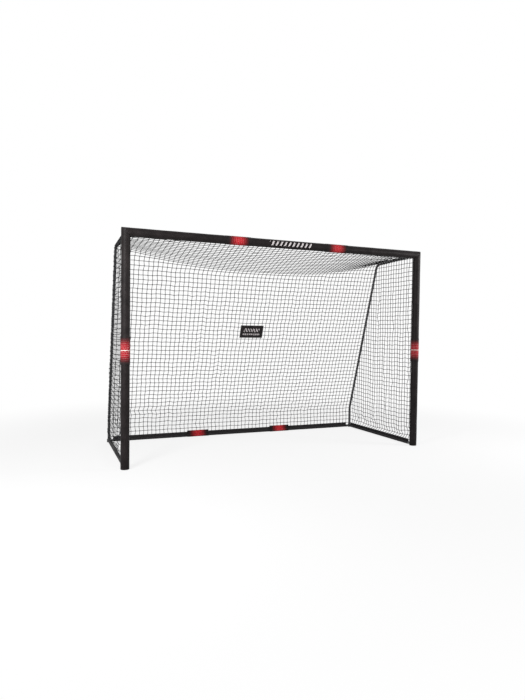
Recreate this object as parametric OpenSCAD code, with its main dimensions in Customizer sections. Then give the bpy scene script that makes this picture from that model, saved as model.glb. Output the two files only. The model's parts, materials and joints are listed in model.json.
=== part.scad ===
// Free-standing football goal: padded front frame on steel tubes, bent side
// frames, a ground frame in sections and a hung net. Millimetres, +Z up,
// X along the crossbar, +Y from the mouth to the rear. The origin is on the
// ground, in the middle of the goal's box.

/* [Overall size] */
// Width over the padded posts
goal_width = 3000; // [2400:10:3600]
// Height to the top of the padded crossbar
goal_height = 2000; // [1700:10:2300]
// Depth from the post axis to the rear ground tube axis
frame_depth = 1210; // [1000:10:1600]
// How much nearer the middle each side frame stands at the rear
rear_toe_in = 22; // [5:1:60]

/* [Padded front frame] */
// Outer diameter of the front steel tubes
front_tube_d = 38; // [36:1:42]
// Wall of the front steel tubes
front_tube_wall = 1.5; // [1.2:0.1:2]
// Diameter of the padding on the crossbar and the upper posts
upper_pad_d = 76; // [70:1:90]
// How much slimmer the padding of the lower posts is
lower_pad_slim = 2; // [0:0.5:4]
// Thickness of the textile sleeves
cover_t = 1.6; // [1:0.1:2.5]
// Gap between the mitred ends of two sleeves
mitre_gap = 0.6; // [0.4:0.1:2]
// Leg of the corner fitting that shows between two tubes
corner_leg = 45; // [40:1:60]
// How far a corner fitting reaches into a tube
corner_insert = 60; // [40:5:90]
// Thickness of the foot plug's flange
foot_flange_t = 3; // [2.5:0.1:3.2]
// How far the foot plug reaches into the post
foot_plug_len = 35; // [20:1:60]

/* [Joints of the front frame] */
// Height of the joint between a post's two tubes
post_joint_z = 990; // [800:10:1100]
// Distance of each crossbar joint from the middle
crossbar_joint_x = 500; // [400:10:600]
// How far a front tube's neck reaches into the next tube
neck_len = 80; // [60:5:110]
// Length of a tube's shoulder before its neck
shoulder_len = 12; // [8:1:20]
// Width of the window in the padding behind a snap button
window_d = 22; // [18:1:30]

/* [Cuffs] */
// Length of the cuffs on the front frame
cuff_len = 240; // [200:10:300]
// Thickness of a cuff
cuff_t = 1.7; // [1.2:0.1:2.5]
// How far the crossbar's cuffs are closed to the right of the joints
crossbar_cuff_shift = 15; // [0:1:40]
// Length of the cuffs on the rear ground tube
rear_cuff_len = 240; // [180:10:300]
// Height of the cuffs on the rear ground tube
rear_cuff_h = 68; // [62:1:80]

/* [Side frames] */
// Outer diameter of the side and ground tubes
side_tube_d = 25; // [22:1:28]
// Wall of the side and ground tubes
side_tube_wall = 1.5; // [1.2:0.1:1.8]
// Distance of the top rear bend behind the post axis
top_bend_y = 690; // [500:10:850]
// Drop of the top brace from the crossbar axis to its bend
top_bend_drop = 28; // [0:1:80]
// Radius of the top rear bend
top_bend_r = 70; // [50:5:120]
// Length of brace tube past the top bend
brace_tail = 90; // [60:5:200]
// Height of the bend above the rear corner
lower_bend_z = 240; // [225:5:320]
// Radius of the bend above the rear corner
lower_bend_r = 90; // [60:5:120]
// How far a side tube's neck reaches into the next tube
side_neck_len = 60; // [50:5:90]

/* [Ground frame] */
// Distance of each joint of the rear ground tube from the middle
rear_joint_x = 490; // [400:10:600]
// Outer diameter of the socket that holds the rear upright
socket_d = 28; // [28:0.5:32]
// Height of the top of that socket
socket_top_z = 200; // [190:1:205]
// Diameter of the corner block at the foot of the socket
corner_block_d = 40; // [40:1:50]
// Length of the corner block's stubs inside the ground tubes
stub_len = 60; // [40:5:90]

/* [Snap buttons] */
// Diameter of the buttons in the front frame
button_d = 8; // [6:0.5:9]
// How far those buttons stand out of the tube
button_proud = 4; // [2:0.5:5]
// Diameter of the buttons in the side and ground tubes
small_button_d = 7; // [5:0.5:7]
// How far the uprights' buttons stand out of the socket
upright_button_proud = 3.5; // [2:0.5:3.5]
// Distance of the uprights' buttons below the socket's top
upright_button_drop = 15; // [10:1:25]
// Turn of the uprights' buttons from straight forward to outward
upright_button_turn = 40; // [0:1:40]
// How far the rear ground tube's buttons stand out
rear_button_proud = 1.5; // [0.5:0.1:1.6]
// Thickness of the spring clips behind the buttons
clip_t = 0.8; // [0.5:0.1:1]
// Length of a spring clip's legs
clip_leg = 28; // [20:1:40]

/* [Hems] */
// Thickness of a hem round its tube
hem_t = 1.1; // [0.8:0.1:1.5]
// Height of the hems' upright strip above the ground
hem_height = 55; // [50:1:60]
// Thickness of the hems' upright strip
hem_strip_t = 1.8; // [1.4:0.1:2.2]
// Distance from the rear hem's ends to the uprights' sockets
rear_hem_gap = 28; // [22:1:60]
// Distance from a side hem's front end to the post's padding
side_hem_gap = 40; // [10:5:80]

/* [Net] */
// Thickness of the net panels
net_t = 2.4; // [2:0.1:3]
// Width of a drawn strand
strand_w = 8; // [5:1:12]
// Gaps drawn across the back and the roof
back_columns = 14; // [8:1:16]
// Gaps drawn down the back
back_rows = 9; // [5:1:10]
// Gaps drawn from the front of the roof to its rear
roof_rows = 3; // [2:1:4]
// Gaps drawn along the foot of a side panel
side_columns = 6; // [4:1:8]
// Gaps drawn up a side panel
side_rows = 9; // [5:1:12]
// How far the net hangs below the side frames at mid-span
net_sag = 190; // [60:10:220]
// How far the roof's rear edge is drawn forward at mid-span
net_pull = 30; // [0:5:80]
// Length of net over which the sag builds up from a held edge
sag_ramp = 220; // [150:10:400]
// Length of net over which the sag ends above the rear hem
foot_ramp = 500; // [400:10:700]
// Width of the label patch
label_w = 250; // [150:10:300]
// Height of the label patch
label_h = 130; // [80:10:180]
// Thickness of the label patch
label_t = 1.2; // [0.8:0.1:2]
// Distance of the label's middle below the top rear edge of the net
label_down = 620; // [500:10:1000]

/* [Hidden] */
$fn = 64;

// Clearances: steel in steel, button in its holes, soft pieces, net panels
fit_gap = 0.2;
button_gap = 0.1;
soft_gap = 0.3;
panel_gap = 0.6;
hole_gap = 0.5;

// Overlaps that join two shapes of one piece: bend rings, welds, moulded stubs
lap = 0.04;
lap_len = 1;
weld_lap = 1;
mould_lap = 2;

// Flange behind each snap button
flange_extra = 2.5;
flange_t = 1.1;

// Front frame
upper_pad_r = upper_pad_d / 2;
lower_pad_r = upper_pad_r - lower_pad_slim / 2;
cuff_bore_r = upper_pad_r + soft_gap;
cuff_r = cuff_bore_r + cuff_t;
post_x = goal_width / 2 - upper_pad_r;
beam_z = goal_height - upper_pad_r;
front_bore_d = front_tube_d - 2 * front_tube_wall;
neck_d = front_bore_d - 2 * fit_gap;
neck_bore_d = neck_d - 2 * front_tube_wall;
foam_bore_d = front_tube_d + 2 * soft_gap;
elbow_r = front_tube_d / 2 + hole_gap;

// Side and ground frame
toe = asin(rear_toe_in / frame_depth);
side_bore_d = side_tube_d - 2 * side_tube_wall;
side_neck_d = side_bore_d - 2 * fit_gap;
side_neck_bore_d = side_neck_d - 2 * side_tube_wall;
side_hole_d = side_tube_d + 2 * hole_gap;
socket_bore_d = side_tube_d + 2 * fit_gap;

// Hems and rear cuffs, outwards from the ground tube axis
hem_bore_r = side_tube_d / 2 + soft_gap;
hem_r = hem_bore_r + hem_t;
rear_cuff_bore_r = hem_r + soft_gap;
rear_cuff_r = rear_cuff_bore_r + cuff_t;
ground_z = rear_cuff_r;
block_h = 2 * ground_z;
net_offset = socket_d / 2 + soft_gap + net_t / 2;
net_in = net_offset - net_t / 2;
net_out = net_offset + net_t / 2;
strip_x0 = net_in - hem_strip_t / 2;
strip_x1 = strip_x0 + hem_strip_t;
pocket_x0 = strip_x0 - soft_gap;
pocket_x1 = net_out + soft_gap;

// The box of the whole goal reaches from the cuffs to the rear corner blocks
front_reach = cuff_r;
rear_reach = corner_block_d / 2;
rear_run = frame_depth * cos(toe);
front_y = (front_reach - rear_reach - rear_run) / 2;
rear_y = front_y + rear_run;
rear_x = post_x - rear_toe_in;

// Side frame axis in its own plane, as [distance behind the post, height]
brace_start = [0, beam_z];
top_bend = [top_bend_y, beam_z - top_bend_drop];
lower_bend = [frame_depth, lower_bend_z];
upright_foot_z = block_h + 2;
brace_angle = slope(brace_start, top_bend);
upright_angle = slope(top_bend, lower_bend);
upright_start = beyond(top_bend, upright_angle, bend_run(top_bend_r, brace_angle - upright_angle) + brace_tail);

// Steel, foam, textile and net colours
steel = [0.12, 0.12, 0.13];
zinc = [0.62, 0.63, 0.65];
foam = [0.30, 0.30, 0.32];
textile = [0.19, 0.17, 0.17];
print_red = [0.76, 0.15, 0.18];
plastic = [0.07, 0.07, 0.07];
cord = [0.05, 0.05, 0.05];

// ---------- plane geometry of the side frame ----------

// Direction in degrees from p to q
function slope(p, q) = atan2(q[1] - p[1], q[0] - p[0]);
// The point at a distance from p in a direction
function beyond(p, angle, distance) = p + distance * [cos(angle), sin(angle)];
// Straight length that a bend of radius r takes from each side of its corner
function bend_run(r, turn) = r * tan(turn / 2);
// Centre of a bend that turns clockwise from direction a to direction b
function bend_centre(v, r, a, b) = beyond(beyond(v, a, -bend_run(r, a - b)), a - 90, r);
// Points round a bend, at a distance out from the tube's axis
function bend_arc(v, r, a, b, out, steps) =
  let (c = bend_centre(v, r, a, b))
  [for (i = [0:steps]) beyond(c, a + 90 + (b - a) * i / steps, r + out)];

// The side frame's axis moved outwards, from the front to the foot of the upright
top_steps = 6;
lower_steps = 2;
function frame_line(out, y_front, z_foot) =
  let (start = beyond(beyond(brace_start, brace_angle, y_front), brace_angle + 90, out))
  concat(
    [start],
    bend_arc(top_bend, top_bend_r, brace_angle, upright_angle, out, top_steps),
    bend_arc(lower_bend, lower_bend_r, upright_angle, -90, out, lower_steps),
    [[frame_depth + out, z_foot]]
  );

// ---------- placing ----------

// Mirrors a right-hand piece to the left where side is -1
module on(side) {
  if (side > 0) children();
  else mirror([1, 0, 0]) children();
}

// The plane of the right side frame: x outwards, y back from the post axis
module side_plane() {
  translate([post_x, front_y, 0]) rotate([0, 0, toe]) children();
}

// The right rear corner, without the side frame's turn
module rear_corner_place() {
  translate([rear_x, rear_y, 0]) children();
}

// Turns a piece drawn along +Z to run along -X
module along_crossbar() {
  rotate([0, -90, 0]) children();
}

// ---------- tubes ----------

module ring(d, bore) {
  difference() {
    circle(d = d);
    circle(d = bore);
  }
}

// A tube along +Z from z0 to z1
module tube(d, bore, z0, z1) {
  translate([0, 0, z0]) linear_extrude(z1 - z0) ring(d, bore);
}

// A tube along +Z that ends at z1 in a neck for the next tube
module necked_tube(d, bore, neck, neck_bore, z0, z1, reach) {
  tube(d, bore, z0, z1 - shoulder_len);
  tube(d, neck_bore, z1 - shoulder_len, z1);
  tube(neck, neck_bore, z1, z1 + reach);
}

// The middle of a bend in the side plane, at corner v, from direction a to b
module bend_place(v, r, a, b) {
  c = bend_centre(v, r, a, b);
  translate([0, c[0], c[1]]) rotate([a, 0, 0]) rotate([0, -90, 0]) children();
}

// A bend, with a hair-thin ring that joins it to the straight run past it
module plane_bend(v, r, a, b) {
  bend_place(v, r, a, b)
    rotate_extrude(angle = a - b) translate([r, 0]) ring(side_tube_d, side_bore_d);
  past_bend(v, r, a, b) tube(side_tube_d + lap, side_bore_d - lap, -lap_len, lap_len);
}

// Pieces drawn along +Z, set to run back from the bend's start
module before_bend(v, r, a, b) {
  bend_place(v, r, a, b) translate([r, 0, 0]) rotate([90, 0, 0]) children();
}

// Pieces drawn along +Z, set to run on from the bend's end
module past_bend(v, r, a, b) {
  bend_place(v, r, a, b) rotate([0, 0, a - b]) translate([r, 0, 0]) rotate([-90, 0, 0]) children();
}

// A hole of diameter d along +Y through one wall of a tube on the Z axis
module wall_hole(d, z, r0, r1) {
  translate([0, r0, z]) rotate([-90, 0, 0]) cylinder(d = d, h = r1 - r0);
}

// Cubes that cut off one side of the mitre
cutter = 5 * upper_pad_d;

// Half-space on the crossbar's side of the mitre at the right-hand corner
module crossbar_side() {
  rotate([0, -45, 0]) translate([-cutter / 2, -cutter / 2, -mitre_gap / 2]) cube(cutter);
}

// Half-space on the post's side of that mitre
module post_side() {
  rotate([0, 135, 0]) translate([-cutter / 2, -cutter / 2, -mitre_gap / 2]) cube(cutter);
}

// ---------- snap buttons ----------
// Drawn with the tube axis along X and the button pointing along +Z.

function flange_top(bore, d) = sqrt(pow(bore / 2, 2) - pow((d + flange_extra) / 2, 2)) - fit_gap;

module snap_button(bore, d, head_r) {
  top = flange_top(bore, d);
  chamfer = min(1, d / 6);
  translate([0, 0, top - flange_t]) cylinder(d = d + flange_extra, h = flange_t);
  translate([0, 0, top]) cylinder(d = d, h = head_r - chamfer - top);
  translate([0, 0, head_r - chamfer]) cylinder(d1 = d, d2 = d - 2 * chamfer, h = chamfer);
}

// U-shaped leaf spring between the button's flange and the far wall
module spring_clip(bore, d) {
  width = d - 1;
  high = flange_top(bore, d) - flange_t - soft_gap;
  low = -(sqrt(pow(bore / 2, 2) - pow(width / 2, 2)) - fit_gap);
  bow = (high - low) / 2;
  rotate([90, 0, 0])
    translate([0, 0, -width / 2])
      linear_extrude(width)
        translate([0, (high + low) / 2]) {
          translate([-d, bow - clip_t]) square([clip_leg + d, clip_t]);
          translate([-d, -bow]) square([clip_leg + d, clip_t]);
          translate([clip_leg, 0]) intersection() {
            ring(2 * bow, 2 * (bow - clip_t));
            translate([0, -bow]) square([bow, 2 * bow]);
          }
        }
}

front_head_r = front_tube_d / 2 + button_proud;
rear_head_r = side_tube_d / 2 + rear_button_proud;
upright_head_r = socket_d / 2 + upright_button_proud;
post_button_z = post_joint_z + neck_len / 2;
crossbar_button_x = crossbar_joint_x + neck_len / 2;
rear_button_x = rear_joint_x + side_neck_len / 2;
upright_button_z = socket_top_z - upright_button_drop;

// Each place turns the button's tube and direction into the right-hand joint's
module post_button_place() {
  translate([post_x, front_y, post_button_z]) rotate([-90, 0, 0]) rotate([0, 0, 90]) children();
}

module crossbar_button_place() {
  translate([crossbar_button_x, front_y, beam_z]) rotate([-90, 0, 0]) children();
}

module rear_button_place() {
  translate([rear_button_x, rear_y, ground_z]) rotate([90, 0, 0]) children();
}

module upright_button_place() {
  side_plane()
    translate([0, frame_depth, upright_button_z])
      rotate([0, 0, upright_button_turn])
        rotate([90, 0, 0])
          rotate([0, 0, 90])
            children();
}

module post_button(side) {
  color(zinc) on(side) post_button_place() snap_button(neck_bore_d, button_d, front_head_r);
}

module crossbar_button(side) {
  color(zinc) on(side) crossbar_button_place() snap_button(neck_bore_d, button_d, front_head_r);
}

module rear_button(side) {
  color(zinc) on(side) rear_button_place() snap_button(side_neck_bore_d, small_button_d, rear_head_r);
}

module upright_button(side) {
  color(zinc) on(side) upright_button_place() snap_button(side_bore_d, small_button_d, upright_head_r);
}

module button_clips() {
  color(zinc) for (side = [-1, 1]) on(side) {
    post_button_place() spring_clip(neck_bore_d, button_d);
    crossbar_button_place() spring_clip(neck_bore_d, button_d);
    rear_button_place() spring_clip(side_neck_bore_d, small_button_d);
    upright_button_place() spring_clip(side_bore_d, small_button_d);
  }
}

// ---------- front frame: steel ----------

button_hole_d = button_d + 2 * button_gap;
hem_window_d = small_button_d + 8 * hole_gap;
small_hole_d = small_button_d + 2 * button_gap;

module post_lower_tube(side) {
  color(steel) on(side) {
    difference() {
      translate([post_x, front_y, 0])
        necked_tube(front_tube_d, front_bore_d, neck_d, neck_bore_d, foot_flange_t, post_joint_z, neck_len);
      translate([post_x, front_y, 0])
        wall_hole(button_hole_d, post_button_z, neck_bore_d / 4, front_tube_d);
    }
    // Stub for the side ground tube
    side_plane()
      translate([0, front_tube_d / 2 - weld_lap, ground_z])
        rotate([-90, 0, 0])
          tube(side_neck_d, side_neck_bore_d, 0, stub_len);
  }
}

module post_upper_tube(side) {
  color(steel) on(side)
    difference() {
      translate([post_x, front_y, 0])
        tube(front_tube_d, front_bore_d, post_joint_z + fit_gap, beam_z - corner_leg - fit_gap);
      translate([post_x, front_y, 0])
        wall_hole(button_hole_d, post_button_z, neck_bore_d / 4, front_tube_d);
    }
}

module crossbar_end_tube(side) {
  color(steel) on(side)
    difference() {
      translate([0, front_y, beam_z])
        rotate([0, 90, 0])
          tube(front_tube_d, front_bore_d, crossbar_joint_x + fit_gap, post_x - corner_leg - fit_gap);
      crossbar_button_place() cylinder(d = button_hole_d, h = front_tube_d);
    }
}

module crossbar_middle_tube() {
  color(steel)
    difference() {
      for (side = [-1, 1]) on(side)
        translate([0, front_y, beam_z])
          rotate([0, 90, 0])
            necked_tube(front_tube_d, front_bore_d, neck_d, neck_bore_d, 0, crossbar_joint_x, neck_len);
      for (side = [-1, 1]) on(side)
        crossbar_button_place() cylinder(d = button_hole_d, h = front_tube_d);
    }
}

// Elbow with an insert for each tube and a stub for the top brace. The bend is as
// slim as the inserts, so that it stays clear of the mitred foam round it
module corner_fitting(side) {
  color(steel) on(side) {
    translate([post_x, front_y, beam_z]) {
      tube(front_tube_d, neck_bore_d, -corner_leg, -elbow_r);
      tube(neck_d, neck_bore_d, -corner_leg - corner_insert, -corner_leg);
      along_crossbar() {
        tube(front_tube_d, neck_bore_d, elbow_r, corner_leg);
        tube(neck_d, neck_bore_d, corner_leg, corner_leg + corner_insert);
      }
      translate([-elbow_r, 0, -elbow_r])
        rotate([90, 0, 0])
          rotate_extrude(angle = 90) translate([elbow_r, 0]) ring(neck_d, neck_bore_d);
    }
    side_plane()
      translate([0, 0, beam_z])
        rotate([brace_angle - 90, 0, 0])
          tube(side_neck_d, side_neck_bore_d, front_tube_d / 4, front_tube_d / 2 + stub_len);
  }
}

module foot_plug(side) {
  color(plastic) on(side) translate([post_x, front_y, 0]) {
    cylinder(d = front_tube_d, h = foot_flange_t);
    translate([0, 0, foot_flange_t]) cylinder(d = front_bore_d - 2 * fit_gap, h = foot_plug_len);
  }
}

// ---------- front frame: padding ----------

// Hole that the top brace passes through
module brace_hole() {
  side_plane()
    translate([0, 0, beam_z])
      rotate([brace_angle - 90, 0, 0])
        cylinder(d = side_hole_d, h = 2 * upper_pad_d);
}

// Notch at the foot that the side ground tube passes through
module ground_notch() {
  side_plane() {
    translate([0, 0, ground_z]) rotate([-90, 0, 0]) cylinder(d = side_hole_d, h = upper_pad_d);
    translate([-side_hole_d / 2, 0, 0]) cube([side_hole_d, upper_pad_d, ground_z]);
  }
}

module post_window() {
  post_button_place() cylinder(d = window_d, h = upper_pad_d);
}

module crossbar_window() {
  crossbar_button_place() cylinder(d = window_d, h = upper_pad_d);
}

module lower_padding(d, bore) {
  difference() {
    translate([post_x, front_y, 0]) tube(d, bore, foot_flange_t, post_joint_z - soft_gap);
    ground_notch();
  }
}

module upper_padding(d, bore) {
  difference() {
    translate([post_x, front_y, 0]) tube(d, bore, post_joint_z + soft_gap, goal_height);
    translate([post_x, front_y, beam_z]) crossbar_side();
    brace_hole();
    post_window();
  }
}

module crossbar_end_padding(d, bore) {
  difference() {
    translate([0, front_y, beam_z])
      rotate([0, 90, 0])
        tube(d, bore, crossbar_joint_x + soft_gap, post_x + upper_pad_r);
    translate([post_x, front_y, beam_z]) post_side();
    brace_hole();
    crossbar_window();
  }
}

module crossbar_middle_padding(d, bore) {
  translate([0, front_y, beam_z])
    rotate([0, 90, 0])
      tube(d, bore, -crossbar_joint_x + soft_gap, crossbar_joint_x - soft_gap);
}

function cover_bore_d(pad_r) = 2 * (pad_r - cover_t);
function foam_d(pad_r) = cover_bore_d(pad_r) - 2 * soft_gap;

module post_lower_foam(side) {
  color(foam) on(side) lower_padding(foam_d(lower_pad_r), foam_bore_d);
}

module post_upper_foam(side) {
  color(foam) on(side) upper_padding(foam_d(upper_pad_r), foam_bore_d);
}

module crossbar_end_foam(side) {
  color(foam) on(side) crossbar_end_padding(foam_d(upper_pad_r), foam_bore_d);
}

module crossbar_middle_foam() {
  color(foam) crossbar_middle_padding(foam_d(upper_pad_r), foam_bore_d);
}

module post_lower_cover(side) {
  color(textile) on(side) lower_padding(2 * lower_pad_r, cover_bore_d(lower_pad_r));
}

module post_upper_cover(side) {
  color(textile) on(side) upper_padding(2 * upper_pad_r, cover_bore_d(upper_pad_r));
}

module crossbar_end_cover(side) {
  color(textile) on(side) crossbar_end_padding(2 * upper_pad_r, cover_bore_d(upper_pad_r));
}

module crossbar_middle_cover() {
  color(textile) crossbar_middle_padding(2 * upper_pad_r, cover_bore_d(upper_pad_r));
}

module post_cuff(side) {
  color(print_red) on(side)
    translate([post_x, front_y, 0])
      tube(2 * cuff_r, 2 * cuff_bore_r, post_joint_z - cuff_len / 2, post_joint_z + cuff_len / 2);
}

module crossbar_cuff(side) {
  middle = side * crossbar_joint_x + crossbar_cuff_shift;
  color(print_red)
    translate([middle, front_y, beam_z])
      rotate([0, 90, 0])
        tube(2 * cuff_r, 2 * cuff_bore_r, -cuff_len / 2, cuff_len / 2);
}

// ---------- side frames ----------

module top_brace(side) {
  v = top_bend;
  r = top_bend_r;
  a = brace_angle;
  b = upright_angle;
  first = norm(top_bend - brace_start) - bend_run(r, a - b) - front_tube_d / 2 - 2 * hole_gap;
  color(steel) on(side) side_plane() {
    before_bend(v, r, a, b) tube(side_tube_d, side_bore_d, 0, first);
    plane_bend(v, r, a, b);
    past_bend(v, r, a, b)
      necked_tube(side_tube_d, side_bore_d, side_neck_d, side_neck_bore_d, 0, brace_tail, side_neck_len);
  }
}

module rear_upright(side) {
  v = lower_bend;
  r = lower_bend_r;
  a = upright_angle;
  b = -90;
  run = bend_run(r, a - b);
  first = norm(lower_bend - upright_start) - run - fit_gap;
  last = lower_bend_z - run - upright_foot_z;
  color(steel) on(side) {
    side_plane() {
      before_bend(v, r, a, b) tube(side_tube_d, side_bore_d, 0, first);
      plane_bend(v, r, a, b);
    }
    difference() {
      side_plane() past_bend(v, r, a, b) tube(side_tube_d, side_bore_d, 0, last);
      upright_button_place() cylinder(d = small_hole_d, h = socket_d);
    }
  }
}

module ground_tube(side) {
  color(steel) on(side) side_plane()
    translate([0, 0, ground_z])
      rotate([-90, 0, 0])
        tube(side_tube_d, side_bore_d, front_tube_d / 2 + fit_gap, frame_depth - corner_block_d / 2 - fit_gap);
}

// ---------- ground frame ----------

module rear_end_tube(side) {
  color(steel) on(side)
    difference() {
      translate([0, rear_y, ground_z])
        rotate([0, 90, 0])
          tube(side_tube_d, side_bore_d, rear_joint_x + fit_gap, rear_x - corner_block_d / 2 - fit_gap);
      rear_button_place() cylinder(d = small_hole_d, h = side_tube_d);
    }
}

module rear_middle_tube() {
  color(steel)
    difference() {
      for (side = [-1, 1]) on(side)
        translate([0, rear_y, ground_z])
          rotate([0, 90, 0])
            necked_tube(side_tube_d, side_bore_d, side_neck_d, side_neck_bore_d, 0, rear_joint_x, side_neck_len);
      for (side = [-1, 1]) on(side)
        rear_button_place() cylinder(d = small_hole_d, h = side_tube_d);
    }
}

// Moulded block with a socket for the upright and a stub for each ground tube
module rear_corner(side) {
  stub_start = corner_block_d / 2 - mould_lap;
  color(plastic) on(side) {
    difference() {
      rear_corner_place() {
        cylinder(d = corner_block_d, h = block_h);
        tube(socket_d, socket_bore_d, block_h, socket_top_z);
      }
      upright_button_place() cylinder(d = small_hole_d, h = socket_d);
    }
    rear_corner_place()
      translate([-stub_start - stub_len, 0, ground_z])
        rotate([0, 90, 0])
          cylinder(d = side_neck_d, h = stub_len);
    side_plane()
      translate([0, frame_depth - stub_start, ground_z])
        rotate([90, 0, 0])
          cylinder(d = side_neck_d, h = stub_len);
  }
}

// ---------- hems, cuffs and net ----------

// Section of a hem: round the tube, with a strip standing on its outer side. The
// strip starts above the floor of the rear cuffs' pocket
strip_foot = cuff_t + soft_gap;

module hem_section() {
  difference() {
    union() {
      circle(r = hem_r);
      translate([strip_x0, strip_foot]) square([hem_strip_t, hem_height - ground_z - strip_foot]);
      translate([0, strip_foot]) square([strip_x1, hem_strip_t]);
    }
    circle(r = hem_bore_r);
  }
}

module side_hem(side) {
  y0 = lower_pad_r + side_hem_gap;
  y1 = frame_depth - corner_block_d / 2 - 1;
  color(textile) on(side) side_plane()
    translate([0, y1, ground_z])
      rotate([90, 0, 0])
        linear_extrude(y1 - y0) hem_section();
}

module rear_hem() {
  half = rear_x - socket_d / 2 - rear_hem_gap;
  color(textile)
    difference() {
      translate([-half, rear_y, ground_z]) rotate([90, 0, 90]) linear_extrude(2 * half) hem_section();
      for (side = [-1, 1]) on(side)
        rear_button_place() cylinder(d = hem_window_d, h = side_tube_d);
    }
}

// Round the hem, with a pocket for its strip and the net's lower edge
module rear_cuff_section() {
  rise = rear_cuff_h - ground_z;
  difference() {
    union() {
      circle(r = rear_cuff_r);
      translate([pocket_x0 - cuff_t, 0]) square([pocket_x1 - pocket_x0 + 2 * cuff_t, rise]);
    }
    circle(r = rear_cuff_bore_r);
    translate([pocket_x0, cuff_t]) square([pocket_x1 - pocket_x0, rise - 2 * cuff_t]);
    translate([net_in - soft_gap, cuff_t]) square([net_t + 2 * soft_gap, rise]);
  }
}

module rear_cuff(side) {
  color(print_red) on(side)
    translate([rear_joint_x - rear_cuff_len / 2, rear_y, ground_z])
      rotate([90, 0, 90])
        linear_extrude(rear_cuff_len) rear_cuff_section();
}

// The net's front edge lies just behind the cuffs
net_front = sqrt(pow(cuff_r, 2) - pow(net_in, 2)) + soft_gap;
net_foot_z = hem_height + panel_gap;

// Outline of a side panel, drawn in by an amount along its border
function side_outline(border) =
  let (
    line = frame_line(net_in - panel_gap - border, net_front + border, net_foot_z + border)
  )
  concat([[net_front + border, net_foot_z + border]], line);

module side_net(side) {
  reach = frame_depth + net_in - net_front;
  rise = beam_z + net_in - net_foot_z;
  pitch_y = reach / side_columns;
  pitch_z = rise / side_rows;
  color(cord) on(side) side_plane()
    translate([net_in, 0, 0])
      rotate([90, 0, 90])
        linear_extrude(net_t)
          difference() {
            polygon(side_outline(0));
            intersection() {
              polygon(side_outline(strand_w));
              for (i = [0:side_columns - 1], j = [0:side_rows - 1])
                translate([net_front + i * pitch_y + strand_w / 2, net_foot_z + j * pitch_z + strand_w / 2])
                  square([pitch_y - strand_w, pitch_z - strand_w]);
            }
          }
}

// ---------- hung panels ----------

function path_length(path) =
  len(path) < 2 ? 0 : norm(path[1] - path[0]) + path_length([for (i = [1:len(path) - 1]) path[i]]);
// The point at distance s along a path
function along(path, s, i = 0) =
  let (step = norm(path[i + 1] - path[i]))
  s <= step || i == len(path) - 2
    ? path[i] + (path[i + 1] - path[i]) * min(1, s / step)
    : along(path, s - step, i + 1);
// Grows from 0 to 1 over the ramp
function ramp(s, length) = s >= length ? 1 : sin(90 * max(s, 0) / length);
// Width of the flat band that lies over the side tubes, and of the whole net
edge_w = net_out + side_tube_d / 2 + panel_gap;
net_width = 2 * (post_x + net_out);
// Share of the sag at u, from 1 at mid-span to 0 at the bands over the side frames
function hang(u) = 1 - pow(min(1, abs(u) / (1 - 2 * edge_w / net_width)), 2.4);

// The net over a side frame, split at the middle of the top bend
whole_line = frame_line(net_offset, net_front, net_foot_z);
crease = 1 + top_steps / 2;
roof_path = [for (i = [0:crease]) whole_line[i]];
back_path = [for (i = [crease:len(whole_line) - 1]) whole_line[i]];
roof_len = path_length(roof_path);
back_len = path_length(back_path);
// Length of the back that stands straight in the rear cuffs
foot_hold = rear_cuff_h + panel_gap - net_foot_z;
// Half the width of the net at a distance behind the post axis
function half_width(y) = post_x - y * tan(toe) + net_out / cos(toe);

function roof_point(u, v) =
  let (
    s = v * (roof_len - panel_gap * 2.5),
    p = along(roof_path, s)
  )
  [u * half_width(p[0]), front_y + p[0] - hang(u) * net_pull * ramp(s, sag_ramp),
    p[1] - hang(u) * net_sag * ramp(s, sag_ramp)];

function back_point(u, v) =
  let (
    s0 = panel_gap * 2.5,
    s = s0 + v * (back_len - s0),
    p = along(back_path, s)
  )
  [u * half_width(p[0]), front_y + p[0] - hang(u) * net_pull * (1 - ramp(s, sag_ramp)),
    p[1] - hang(u) * net_sag * ramp(back_len - foot_hold - s, foot_ramp)];

// The two edges of each strand, for n gaps between 0 and 1
function strand_edges(n, w, edge) =
  [for (i = [0:n]) each i == 0 ? [0, edge] : i == n ? [1 - edge, 1] : [i / n - w / 2, i / n + w / 2]];
// Whether the cell from p to q lies in a gap rather than on a strand
function in_gap(p, q, n, w, edge) =
  let (m = (p + q) / 2)
  m > edge && m < 1 - edge && abs(m - round(m * n) / n) > w / 2;
// A list of numbers from the smallest to the largest
function sorted(a) =
  len(a) < 2 ? a :
  let (rest = [for (i = [1:len(a) - 1]) a[i]])
  concat(sorted([for (x = rest) if (x < a[0]) x]), [a[0]], sorted([for (x = rest) if (x >= a[0]) x]));
// Distances along a path at which it turns
function turns(path) = [for (i = [1:len(path) - 2]) path_length([for (k = [0:i]) path[k]])];
// The stops that aren't within 1 mm of another place in the list
function apart(stops, places, long) =
  [for (s = stops) if (min([for (p = places) abs(p - s / long)]) > 1 / long) s / long];

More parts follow.
